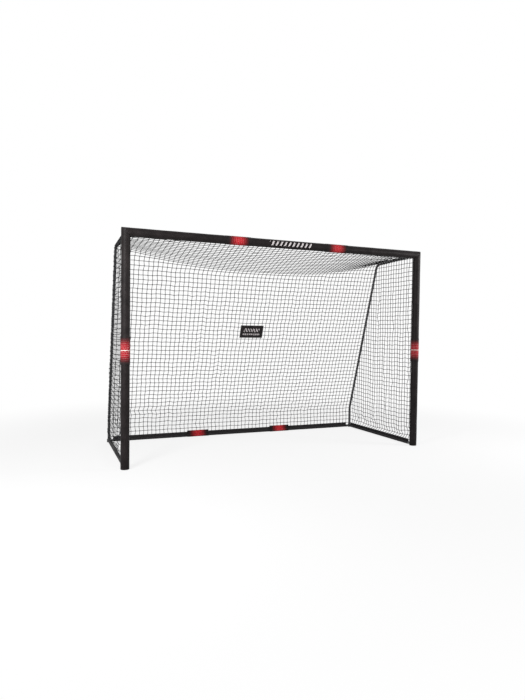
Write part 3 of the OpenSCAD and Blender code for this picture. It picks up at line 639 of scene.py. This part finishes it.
for side, word in ((-1, "left"), (1, "right")):
    x = side * post_x
    corner = Vector((x, front_y, beam_z))
    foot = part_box(f"{word}_post_lower_cover")[0].z
    dress_sleeve(
        f"{word}_post_lower_sleeve", (x, front_y, foot), (x, front_y, joint_z - CLOTH_GAP), lower_pad_r,
        f"{word}_post_lower_cover", sleeve_textile)
    past_post = Vector((-side, 0, 1)).normalized()
    dress_sleeve(
        f"{word}_post_upper_sleeve", (x, front_y, joint_z + CLOTH_GAP), (x, front_y, beam_z + pad_r), pad_r,
        f"{word}_post_upper_cover", sleeve_textile, cut=(corner - past_post * CLOTH_GAP, past_post))
    past_bar = Vector((side, 0, -1)).normalized()
    bar_from, bar_to = side * (joint_x + CLOTH_GAP), x + side * pad_r
    dress_sleeve(
        f"crossbar_{word}_sleeve", (bar_from, front_y, beam_z), (bar_to, front_y, beam_z), pad_r,
        f"crossbar_{word}_cover", sleeve_textile, cut=(corner - past_bar * CLOTH_GAP, past_bar))

dress_sleeve(
    "crossbar_middle_sleeve", (CLOTH_GAP - joint_x, front_y, beam_z), (joint_x - CLOTH_GAP, front_y, beam_z),
    pad_r, "crossbar_middle_cover", marked_sleeve)

# %% [markdown]
# ## Cuffs over the joints
#
# A cuff is a rectangle of printed cloth, wrapped round a joint and pressed shut at the back. A plane could be
# bent round the joint, but its seam would stay open, so the cuff is a short open cylinder. Its two ends are
# pulled in a little, the overlap at the back is a raised strip, and Solidify gives it the cloth's thickness.

# %% Model the cuffs
CUFF_CLOTH = 1.5 * MM
CUFF_SIDES, CUFF_CUTS = 64, 26
CUFF_END = 0.988
OVERLAP_HALF_ANGLE = math.radians(30)
OVERLAP_RISE = 1.2 * MM
CUFF_UNEVEN = 0.8 * MM
ROOM_FOR_CREASES = 0.6 * MM


def make_cuff(name, node, axis, material):
    low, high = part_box(node)
    middle = (low + high) / 2
    axis = Vector(axis)
    length = (high - low).dot(axis)
    half, radius = axis * length / 2, cuff_r - ROOM_FOR_CREASES
    cuff = add_cylinder(name, middle - half, middle + half, radius, CUFF_SIDES, ends="NOTHING")
    bpy.ops.object.mode_set(mode="EDIT")
    cut_into_rings(cuff, axis, CUFF_CUTS)
    pick(cuff, "verts", lambda v: abs(abs((v.co - middle).dot(axis)) - length / 2) < 0.01 * MM)
    pulled_in = [1.0 if abs(a) > 0.5 else CUFF_END for a in axis]
    bpy.ops.transform.resize(value=pulled_in, center_override=middle)
    raise_faces(cuff, lambda f: f.normal.dot(BACK) > math.cos(OVERLAP_HALF_ANGLE), OVERLAP_RISE)
    bpy.ops.object.mode_set(mode="OBJECT")
    make_uneven(cuff, cloth_creases, CUFF_UNEVEN)
    apply_modifier(cuff, "SOLIDIFY", thickness=CUFF_CLOTH, offset=-1)
    smooth()
    wrap_uv(cuff, middle, axis, -BACK)
    dress(cuff, material, "printed_textile", node)


for word in ("left", "right"):
    make_cuff(f"{word}_post_wrap", f"{word}_post_cuff", (0, 0, 1), post_print)
    make_cuff(f"crossbar_{word}_wrap", f"crossbar_{word}_cuff", (1, 0, 0), bar_print)

# %% [markdown]
# ## Hems and rear cuffs
#
# The foot of the net is sewn into a band of cloth that is folded round each ground tube, with both its edges
# standing up together on the outer side. A bevelled curve could have such a section, but it would be as stiff as
# a moulding. So an open cylinder round the tube gets its strip by extruding some of its outer upper faces
# straight up, a cloud texture creases it, and Solidify makes it cloth. The net pulls the strips of the side
# hems inwards, so they lean over the tube. The cuffs on the rear bar go over the hem in the same way.

# %% Model bands round the ground tubes
UP = Vector((0, 0, 1))
BAND_SIDES = 24
BAND_RING_STEP = 0.03
STRIP_CUTS = 4
BAND_UNEVEN = 1.0 * MM


def make_band(name, start, end, outward, radius, top_z, strip_to, cloth, lean=0.0):
    """An open cloth band round a tube. Its faces up to the angle strip_to rise to top_z as a strip.

    The strip's top is moved inwards by lean. The band's flat size is handed back with it."""
    start, end, outward = Vector(start), Vector(end), Vector(outward).normalized()
    axis = (end - start).normalized()
    piece = add_cylinder(name, start, end, radius, BAND_SIDES, ends="NOTHING")
    bpy.ops.object.mode_set(mode="EDIT")
    cut_into_rings(piece, axis, int((end - start).length / BAND_RING_STEP))
    pick(piece, "faces", lambda f: 0 < math.atan2(f.normal.dot(UP), f.normal.dot(outward)) < strip_to)
    bpy.ops.mesh.extrude_region_move(TRANSFORM_OT_translate={"value": (0, 0, top_z - start.z)})
    cage = bmesh.from_edit_mesh(piece.data)
    for vert in cage.verts:
        if vert.select:
            vert.co -= outward * lean
            vert.co.z = top_z
    bmesh.update_edit_mesh(piece.data)
    pick(piece, "edges", lambda e: abs(edge_direction(e).z) > 0.9 and e.calc_length() > 0.02)
    bpy.ops.mesh.subdivide(number_cuts=STRIP_CUTS)
    bpy.ops.mesh.select_all(action="SELECT")
    bpy.ops.mesh.normals_make_consistent(inside=False)
    bpy.ops.object.mode_set(mode="OBJECT")
    make_uneven(piece, cloth_creases, BAND_UNEVEN)
    wrap_uv(piece, (start + end) / 2, axis, -outward)
    area = sum(face.area for face in piece.data.polygons)
    apply_modifier(piece, "SOLIDIFY", thickness=cloth, offset=-1)
    smooth()
    return piece, (area / (end - start).length, (end - start).length)


# %% [markdown]
# Three hems follow the two side tubes and the rear tube, and two cuffs sit over the rear hem, where the rear
# tube is joined.

# %% Hems and rear cuffs
HEM_CLOTH = 0.7 * MM
REAR_CUFF_CLOTH = 1.1 * MM
hem_r = tube_r + HEM_CLOTH + 0.3 * MM
hem_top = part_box("rear_hem")[1].z
HEM_STRIP_TO = math.radians(45)
REAR_STRIP_TO = math.radians(75)
strip_out = hem_r * (1 + math.cos(HEM_STRIP_TO)) / 2
SIDE_HEM_LEAN = 10.5 * MM


def make_hem(name, start, end, outward, node, lean=0.0):
    hem, flat = make_band(name, start, end, outward, hem_r, hem_top, HEM_STRIP_TO, HEM_CLOTH, lean)
    dress(hem, hem_textile, "hem_textile", node)


for side, word in ((-1, "left"), (1, "right")):
    low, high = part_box(f"{word}_hem")
    near, far = ((y - front_y) / math.cos(toe) for y in (low.y, high.y))
    make_hem(
        f"{word}_hem_band", in_side_plane(side, 0, near, ground_z), in_side_plane(side, 0, far, ground_z),
        (side * math.cos(toe), math.sin(toe), 0), f"{word}_hem", SIDE_HEM_LEAN)
    low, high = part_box(f"rear_{word}_cuff")
    cuff, flat = make_band(
        f"rear_{word}_wrap", (low.x, rear_y, ground_z), (high.x, rear_y, ground_z), BACK,
        ground_z - ROOM_FOR_LUMPS, high.z - ROOM_FOR_LUMPS, REAR_STRIP_TO, REAR_CUFF_CLOTH)
    dress(cuff, rear_print, "printed_textile", f"rear_{word}_cuff")
low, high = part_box("rear_hem")
make_hem(
    "rear_hem_band", (low.x, rear_y, ground_z), (high.x, rear_y, ground_z), BACK, "rear_hem")

# %% [markdown]
# ## Hanging the net
#
# A net is points joined by short cords that can pull but hardly push. Blender's cloth could hang it, but cloth
# resists shear, which a net doesn't, so a small loop does it here. Every point feels its weight and the pull of
# its cords, and moves a little, again and again. Whenever the whole net starts to slow down, its speed is set
# to zero, which makes it settle fast. Each cord is a few per cent longer or shorter than the next, so the
# meshes get the small irregularities of a real net.

# %% Relax a net
CORD_STIFFNESS = 4000.0
POINT_WEIGHT = 0.0018 * 9.81
SLACK_PUSH = 0.02
STEP_MASS = CORD_STIFFNESS * 2.1
DRAG = 0.998
UNEVEN = 0.025
SHAKE = 1.0 * MM


def relax(points, strands, rest, held, steps):
    """Moves the free points of a net to rest. strands are lists of point numbers, rest their cords' lengths."""
    first = np.concatenate([s[:-1] for s in strands])
    second = np.concatenate([s[1:] for s in strands])
    free = np.where(held, 0.0, 1.0)[:, None]
    speed = np.zeros_like(points)
    last_energy = 0.0
    count = len(points)
    for _ in range(steps):
        gap = points[second] - points[first]
        length = np.linalg.norm(gap, axis=1)
        stretch = length - rest
        stretch = np.where(stretch > 0, stretch, SLACK_PUSH * stretch)
        pull = gap * (CORD_STIFFNESS * stretch / length)[:, None]
        force = np.stack([
            np.bincount(first, pull[:, k], count) - np.bincount(second, pull[:, k], count) for k in range(3)
        ], axis=1)
        force[:, 2] -= POINT_WEIGHT
        speed = (speed + force / STEP_MASS) * free * DRAG
        energy = float((speed ** 2).sum())
        if energy < last_energy:
            speed[:] = 0.0
            energy = 0.0
        last_energy = energy
        points = points + speed
    return points


def uneven(lengths, seed):
    return lengths * (1 + UNEVEN * np.random.default_rng(seed).normal(size=len(lengths)))


def shaken(points, seed, held):
    """Moves the free points a little out of line, so that slack cords don't all buckle the same way."""
    return points + np.random.default_rng(seed).normal(0, SHAKE, points.shape) * ~held[:, None]


# %% [markdown]
# ## Turning strands into cord
#
# Each strand is a smooth curve through its points, and becomes a five-sided tube that swells where cords cross,
# as knotless netting does. Thousands of short cords would choke the operators, so this mesh is written
# directly: rings of points round the curve, joined by quads and closed at both ends.

# %% Cord meshes
CORD_R = 2.6 * MM
KNOT_R = 3.1 * MM
EDGE_R = 4.0 * MM
BORDER_R = 2.2 * MM
CORD_SIDES = 5
RINGS_PER_MESH = 3


def smooth_curve(points, per_step):
    """Catmull-Rom curve through the points, with per_step places in each step."""
    before = np.vstack([2 * points[:1] - points[1:2], points[:-1]])[: len(points) - 1]
    after = np.vstack([points[2:], 2 * points[-1:] - points[-2:-1]])
    here, there = points[:-1], points[1:]
    t = (np.arange(per_step) / per_step)[None, :, None]
    b, h, n, a = (p[:, None, :] for p in (before, here, there, after))
    square, cube = 2 * b - 5 * h + 4 * n - a, 3 * h - b - 3 * n + a
    curve = 0.5 * (2 * h + (n - b) * t + square * t ** 2 + cube * t ** 3)
    return np.vstack([curve.reshape(-1, 3), points[-1:]])


def cord_tube(points, reference, thin=CORD_R, knot=KNOT_R, per_step=RINGS_PER_MESH):
    """Vertices and quads of one cord through the points; reference is any direction across it."""
    curve = smooth_curve(points, per_step)
    forward = np.gradient(curve, axis=0)
    forward /= np.linalg.norm(forward, axis=1)[:, None]
    side = np.cross(forward, reference)
    side /= np.linalg.norm(side, axis=1)[:, None]
    up = np.cross(side, forward)
    radius = np.where(np.arange(len(curve)) % per_step == 0, knot, thin)[:, None, None]
    angle = np.arange(CORD_SIDES) * 2 * math.pi / CORD_SIDES
    around = np.cos(angle)[None, :, None] * side[:, None] + np.sin(angle)[None, :, None] * up[:, None]
    verts = (curve[:, None] + radius * around).reshape(-1, 3)
    ring = np.arange(len(curve) - 1)[:, None] * CORD_SIDES
    a = ring + np.arange(CORD_SIDES)
    b = ring + (np.arange(CORD_SIDES) + 1) % CORD_SIDES
    quads = np.stack([a, a + CORD_SIDES, b + CORD_SIDES, b], axis=-1).reshape(-1, 4)
    last = (len(curve) - 1) * CORD_SIDES
    ends = [list(range(CORD_SIDES)), list(range(last + CORD_SIDES - 1, last - 1, -1))]
    return verts, quads.tolist() + ends


def cord_piece(name, tubes, *nodes):
    """One dressed piece from many cords."""
    verts, faces, offset = [], [], 0
    for tube_verts, tube_faces in tubes:
        verts.append(tube_verts)
        faces += [[i + offset for i in face] for face in tube_faces]
        offset += len(tube_verts)
    mesh = bpy.data.meshes.new(name)
    mesh.from_pydata(np.vstack(verts).tolist(), [], faces)
    mesh.polygons.foreach_set("use_smooth", [True] * len(mesh.polygons))
    piece = bpy.data.objects.new(name, mesh)
    bpy.context.scene.collection.objects.link(piece)
    dress(piece, net_cord, "net_cord", *nodes)


# %% [markdown]
# ## Roof and back
#
# Roof and back are one sheet of meshes. Its front edge runs behind the crossbar, its sides follow the side
# frames in a thicker edge rope, and its foot goes into the rear hem. Between the side frames nothing carries
# it, so the fold under the top bend hangs in a long curve. That curve is set here, and the net finds its own
# shape on both sides of it. The rows stay level on the back: every column counts the same meshes from the
# foot, so where the fold hangs low, the spare rows crowd together over the roof.

# %% Hang the roof and the back
MESH_PITCH = 45.0 * MM
NET_OUT = 14.2 * MM
ROW_SLACK = 1.007
COLUMN_SLACK = 1.007
FOLD_DROP = 0.190
FOLD_PULL = 0.030
FOLD_POWER = 2.4
net_front = math.sqrt(cuff_r ** 2 - NET_OUT ** 2) + 0.8 * MM
hem_grip = hem_top - 4 * MM

side_line = frame_line(NET_OUT, net_front, hem_grip)
side_line[-1, 0] = side_depth + strip_out
edge, edge_length = evenly(side_line, int(round(evenly(side_line, 2)[1] / MESH_PITCH)) + 1)
rows = len(edge)
columns = int(round(2 * post_x / MESH_PITCH)) + 1
ridge = int(np.argmin(np.hypot(edge[:, 0] - TOP_BEND[0], edge[:, 1] - TOP_BEND[1])))

half_width = post_x - edge[:, 0] * math.sin(toe)
across = np.linspace(-1, 1, columns)
sheet = np.zeros((rows, columns, 3))
sheet[..., 0] = half_width[:, None] * across[None]
sheet[..., 1] = (front_y + edge[:, 0] * math.cos(toe))[:, None]
sheet[..., 2] = edge[:, 1][:, None]
hang = 1 - np.abs(across) ** FOLD_POWER
share = np.interp(np.arange(rows), [0, ridge, rows - 1], [0, 1, 0])[:, None] * hang
sheet[..., 1] -= FOLD_PULL * share
sheet[..., 2] -= FOLD_DROP * share
on_roof = np.zeros((rows, columns), bool)
from_foot = np.arange(rows)[::-1] * edge_length / (rows - 1)
for j in range(columns):
    reached = np.concatenate([[0], np.cumsum(np.linalg.norm(np.diff(sheet[:, j], axis=0), axis=1))])
    fold_at, whole = reached[ridge], reached[-1]
    over_fold = from_foot - (whole - fold_at)
    on_roof[:, j] = over_fold > 1 * MM
    places = np.where(on_roof[:, j], fold_at * (1 - over_fold / over_fold[0]), whole - from_foot)
    sheet[:, j] = at_places(sheet[:, j], reached, places)
first_back = on_roof.sum(axis=0)
print("rows over the roof: beside the frame", first_back[0], "and in the middle", first_back[columns // 2])

number = np.arange(rows * columns).reshape(rows, columns)
row_strands = [number[i] for i in range(rows)]
column_strands = [number[:, j] for j in range(columns)]
held = np.zeros((rows, columns), bool)
held[[0, -1]] = held[:, [0, -1]] = True
held[first_back, np.arange(columns)] = held[first_back - 1, np.arange(columns)] = True

row_rest = np.repeat(2 * half_width * ROW_SLACK / (columns - 1), columns - 1)
column_rest = np.linalg.norm(np.diff(sheet, axis=0), axis=2).T.reshape(-1) * COLUMN_SLACK
rest = np.concatenate([row_rest, column_rest])
held = held.reshape(-1)
steps = 6000
start = shaken(sheet.reshape(-1, 3), 1, held)
hung = relax(start, row_strands + column_strands, uneven(rest, 2), held, steps).reshape(rows, columns, 3)
print(f"{rows} rows and {columns} columns hung")

# Reference directions for cord_tube: the first for cords that run along x, the second for all others.
ACROSS_X = np.array([0.0, 0.3, 1.0])
ALONG_X = np.array([1.0, 0.0, 0.05])


def column_sizes(j):
    """Radius of a column's cord and of its crossings; the two outermost columns are the edge rope."""
    return (EDGE_R, EDGE_R) if j in (0, columns - 1) else (CORD_R, KNOT_R)


def stretches(flags):
    """First and last-but-one number of each unbroken stretch of True."""
    ends = np.flatnonzero(np.diff(np.concatenate([[0], flags.astype(int), [0]])))
    return ends.reshape(-1, 2)


roof_cords, back_cords = [], []
for i in range(rows):
    for a, b in stretches(on_roof[i]):
        roof_cords.append(cord_tube(hung[i, max(a - 1, 0): b + 1], ACROSS_X))
    for a, b in stretches(~on_roof[i]):
        if b - a > 1:
            back_cords.append(cord_tube(hung[i, a:b], ACROSS_X))
for j in range(columns):
    roof_cords.append(cord_tube(hung[: first_back[j] + 1, j], ALONG_X, *column_sizes(j)))
    back_cords.append(cord_tube(hung[first_back[j]:, j], ALONG_X, *column_sizes(j)))
cord_piece("roof_netting", roof_cords, "roof_net")
cord_piece("back_netting", back_cords, "back_net")

# %% [markdown]
# ## Side nets
#
# A side net fills the shape between post, brace, upright and ground tube. Its cords lie on a square grid that
# is cut off by that outline: every cord ends on the outline, where it is tied. The same loop lets it sag a
# little, and over two meshes above the hem the net moves out from the hem's strip to the frame's outer side.
# The camera looks almost along the left net, where full cords would close up to a grey wall, so its cords are
# drawn thinner than those of the other panels.

# %% Hang the side nets
SIDE_SLACK = 1.012
SHORTEST = 0.3 * MESH_PITCH
BORDER_POINTS = 44


def make_side_net(side, word, level_r, upright_r):
    outline = frame_line(2 * MM, net_front, hem_grip)
    backs = np.arange(net_front, outline[:, 0].max(), MESH_PITCH)
    ups = np.arange(hem_grip, outline[:, 1].max(), MESH_PITCH)
    points, held_points, numbers = [], [], {}

    def add(back, up, fixed):
        points.append((back, up))
        held_points.append(fixed)
        return len(points) - 1

    falling = outline[np.argmax(outline[:, 1]):][::-1]
    for i, up in enumerate(ups):
        reach = np.interp(up, falling[:, 1], falling[:, 0])
        for j, back in enumerate(backs):
            top = np.interp(back, outline[:, 0], outline[:, 1])
            if back < reach - SHORTEST and up < top - SHORTEST:
                numbers[i, j] = add(back, up, i == 0 or j == 0)
    strands = []
    for i, up in enumerate(ups):
        strand = [numbers[i, j] for j in range(len(backs)) if (i, j) in numbers]
        if strand:
            strand.append(add(np.interp(up, falling[:, 1], falling[:, 0]), up, True))
            strands.append(np.array(strand))
    level = len(strands)
    for j, back in enumerate(backs):
        strand = [numbers[i, j] for i in range(len(ups)) if (i, j) in numbers]
        if strand:
            strand.append(add(back, np.interp(back, outline[:, 0], outline[:, 1]), True))
            strands.append(np.array(strand))
    flat = np.array(points)
    near_corner = [side_depth - 100 * MM, side_depth - 30 * MM]
    foot_out = np.interp(flat[:, 0], near_corner, [strip_out - SIDE_HEM_LEAN, strip_out])
    risen = np.clip((flat[:, 1] - hem_grip) / (2 * MESH_PITCH), 0, 1)
    out_of_plane = foot_out + (NET_OUT - foot_out) * risen
    place = in_side_plane(side, out_of_plane, flat[:, 0], flat[:, 1])
    held = np.array(held_points)
    rest = SIDE_SLACK * np.concatenate([np.linalg.norm(np.diff(flat[s], axis=0), axis=1) for s in strands])
    steps = 3000
    place = relax(shaken(place, 5, held), strands, uneven(rest, 7 + side), held, steps)
    cords = [cord_tube(place[s], ALONG_X, level_r, KNOT_R) for s in strands[:level] if len(s) > 1]
    cords += [cord_tube(place[s], ALONG_X, upright_r, upright_r) for s in strands[level:] if len(s) > 1]
    border = in_side_plane(side, NET_OUT, net_front, np.linspace(hem_grip, beam_z, BORDER_POINTS))
    cords.append(cord_tube(border, ALONG_X, BORDER_R, BORDER_R))
    print(f"{word} side net: {level} rows and {len(strands) - level} columns")
    cord_piece(f"{word}_netting", cords, f"{word}_net")


make_side_net(-1, "left", 2.1 * MM, 1.1 * MM)
make_side_net(1, "right", CORD_R, CORD_R)

# %% [markdown]
# ## Edge cord and loops
#
# Along the side frames each row of meshes ends in a loop round the tube, which holds the nets. Each loop is a
# small torus turned to the tube's direction. An edge cord runs behind the crossbar, where the sleeve's closing
# strip holds the net.

# %% Loops round the side tubes
LOOP_R = NET_OUT
FIRST_LOOP_BACK, LAST_LOOP_Z = net_front + 20 * MM, 215 * MM


def make_loops(side, word):
    axis_line = frame_line(0.0, FIRST_LOOP_BACK, LAST_LOOP_Z)
    middle, _ = evenly(axis_line, int(round(evenly(axis_line, 2)[1] / MESH_PITCH)) + 1)
    along = np.gradient(middle, axis=0)
    loops = []
    for (back, up), (step_back, step_up) in zip(middle, along):
        place = Vector(in_side_plane(side, 0.0, back, up))
        ahead = Vector(in_side_plane(side, 0.0, back + step_back, up + step_up)) - place
        start_piece()
        bpy.ops.mesh.primitive_torus_add(
            major_segments=16, minor_segments=5, major_radius=LOOP_R, minor_radius=CORD_R,
            location=place, rotation=ahead.to_track_quat("Z", "X").to_euler())
        loops.append(bpy.context.object)
    start_piece()
    for loop in loops:
        loop.select_set(True)
    bpy.context.view_layer.objects.active = loops[0]
    bpy.ops.object.join()
    bpy.ops.object.shade_smooth()
    dress(finish_place(f"{word}_frame_loops"), net_cord, "net_cord")


make_loops(-1, "left")
make_loops(1, "right")

bar_edge = np.full((columns, 3), (0.0, front_y + net_front, beam_z + NET_OUT))
bar_edge[:, 0] = np.linspace(30 * MM - post_x, post_x - 30 * MM, columns)
cord_piece("front_edge_cord", [cord_tube(bar_edge, ACROSS_X, BORDER_R, BORDER_R)])

# %% [markdown]
# ## Label
#
# A cloth patch is sewn to the mouth side of the back net. It starts as a grid in the plane of the CAD label.
# Shrinkwrapped to the cords it would copy every knot, so it is laid on a smooth surface that is fitted to the
# net's points behind it. Its edge is folded over, which a small rise of its rim shows.

# %% Model the label
low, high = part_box("net_label")
label_middle = (low + high) / 2
LABEL_W, LABEL_H, LABEL_T = 0.260, 0.140, 1.0 * MM
FOLD_W, FOLD_RISE = 7 * MM, 0.5 * MM
LABEL_OFF_NET = 3.0 * MM
FITTED_W, FITTED_H = 0.44, 0.32

net_points = hung[ridge + 3: -3].reshape(-1, 3)
beside, above = np.abs(net_points[:, 0]), np.abs(net_points[:, 2] - label_middle.z)
behind = net_points[(beside < FITTED_W / 2) & (above < FITTED_H / 2)]


def bowl(x, z):
    """The terms of a gently bowed surface, whose shares are fitted to the net."""
    x, z = np.asarray(x), np.asarray(z) - label_middle.z
    return np.stack([np.ones_like(x), x, x * x, z, z * z], axis=-1)


shape, *_ = np.linalg.lstsq(bowl(behind[:, 0], behind[:, 2]), behind[:, 1], rcond=None)
lean = math.atan(-shape[3])

start_piece()
bpy.ops.mesh.primitive_grid_add(x_subdivisions=24, y_subdivisions=14, size=1, location=label_middle)
label = bpy.context.object
label.scale = (LABEL_W, LABEL_H, 1)
label.rotation_euler = (math.pi / 2 + lean, 0, 0)
label = finish_place("label_patch")
for vert in label.data.vertices:
    x, z = vert.co.x, vert.co.z
    vert.co.y = float(bowl(x, z) @ shape) - LABEL_OFF_NET
wrap = label.data.uv_layers.active.data
for loop in label.data.loops:
    place = label.data.vertices[loop.vertex_index].co - label_middle
    wrap[loop.index].uv = (place.x, place.z / math.cos(lean))

bpy.ops.object.mode_set(mode="EDIT")
half = Vector((LABEL_W / 2 - FOLD_W, 0, (LABEL_H / 2 - FOLD_W) * math.cos(lean)))


def in_fold(face):
    place = face.calc_center_median() - label_middle
    return abs(place.x) > half.x or abs(place.z) > half.z


raise_faces(label, in_fold, FOLD_RISE)
bpy.ops.object.mode_set(mode="OBJECT")
apply_modifier(label, "SOLIDIFY", thickness=LABEL_T, offset=-1)
smooth(40)
dress(label, label_textile, "label_textile", "net_label")

# %% [markdown]
# ## Floor, light and world
#
# The goal stands on a pale floor under soft light. Two lamps stand near the posts and make their long soft
# highlights, a wide one far in front and one behind show the crossbar and the net, and the world fills the
# rest. Rays from the camera, and rays that are mirrored or pass through glass, see a white world and a floor
# that glows. Near the goal the glow leaves a share to pale paint, so that the floor keeps the goal's shadow.

# %% Floor
FLOOR_GREY, FLOOR_SEEN = 0.18, 0.80
SHADOW_REACH, SHADOW_GONE = 2.0, 4.5
GLOW_NEAR = 0.84


def sees_background(tree):
    """1 for rays that show the background: from the camera, mirrored, or through glass."""
    paths = add_node(tree, "ShaderNodeLightPath").outputs
    mirrored = math_node(tree, "MAXIMUM", paths["Is Camera Ray"], paths["Is Glossy Ray"])
    return math_node(tree, "MAXIMUM", mirrored, paths["Is Transmission Ray"])


start_piece()
bpy.ops.mesh.primitive_plane_add(size=60, location=(0, 0, -0.5 * MM))
floor = finish_place("floor")
floor_paint, tree, shader = open_material("floor_paint", (FLOOR_GREY,) * 3, 0.9)
seen = sees_background(tree)
paint(tree, shader, math_node(tree, "MULTIPLY_ADD", seen, FLOOR_SEEN - FLOOR_GREY, FLOOR_GREY))
glow = add_node(tree, "ShaderNodeEmission", Strength=1.0, Color=(1, 1, 1, 1))
from_goal = add_node(tree, "ShaderNodeVectorMath", {"operation": "LENGTH"}, Vector=object_place(tree))
from_goal = from_goal.outputs["Value"]
glowing = ramp(tree, from_goal, SHADOW_REACH, SHADOW_GONE, GLOW_NEAR, interpolation_type="SMOOTHSTEP")
share = product(tree, seen, glowing)
mixed = add_node(tree, "ShaderNodeMixShader", i0=share, i1=shader.outputs[0], i2=glow.outputs[0])
tree.links.new(mixed.outputs[0], tree.nodes["Material Output"].inputs["Surface"])
floor.data.materials.append(floor_paint)

# %% Lamps and world
GOAL_MIDDLE = Vector((0, 0, 1.0))
SKY_FILL = 0.06


def add_lamp(name, place, size, power):
    start_piece()
    bpy.ops.object.light_add(type="AREA", location=place)
    lamp = bpy.context.object
    lamp.name = name
    lamp.data.size = size
    lamp.data.energy = power
    lamp.rotation_euler = (GOAL_MIDDLE - Vector(place)).to_track_quat("-Z", "Y").to_euler()


add_lamp("left_lamp", (-3.2, -2.8, 2.0), 0.8, 155)
add_lamp("right_lamp", (3.3, -1.9, 2.0), 0.8, 78)
add_lamp("front_lamp", (-0.5, -6.5, 3.0), 2.5, 60)
add_lamp("rear_lamp", (1.0, 6.0, 4.0), 3.0, 90)

world = bpy.data.worlds.new("white_room")
bpy.context.scene.world = world
world.use_nodes = True
tree = world.node_tree
tree.nodes.clear()
strength = math_node(tree, "MULTIPLY_ADD", sees_background(tree), 1 - SKY_FILL, SKY_FILL)
sky = add_node(tree, "ShaderNodeBackground", Color=(1, 1, 1, 1), Strength=strength)
out = tree.nodes.new("ShaderNodeOutputWorld")
tree.links.new(sky.outputs[0], out.inputs["Surface"])
bpy.context.scene.view_settings.view_transform = "Standard"
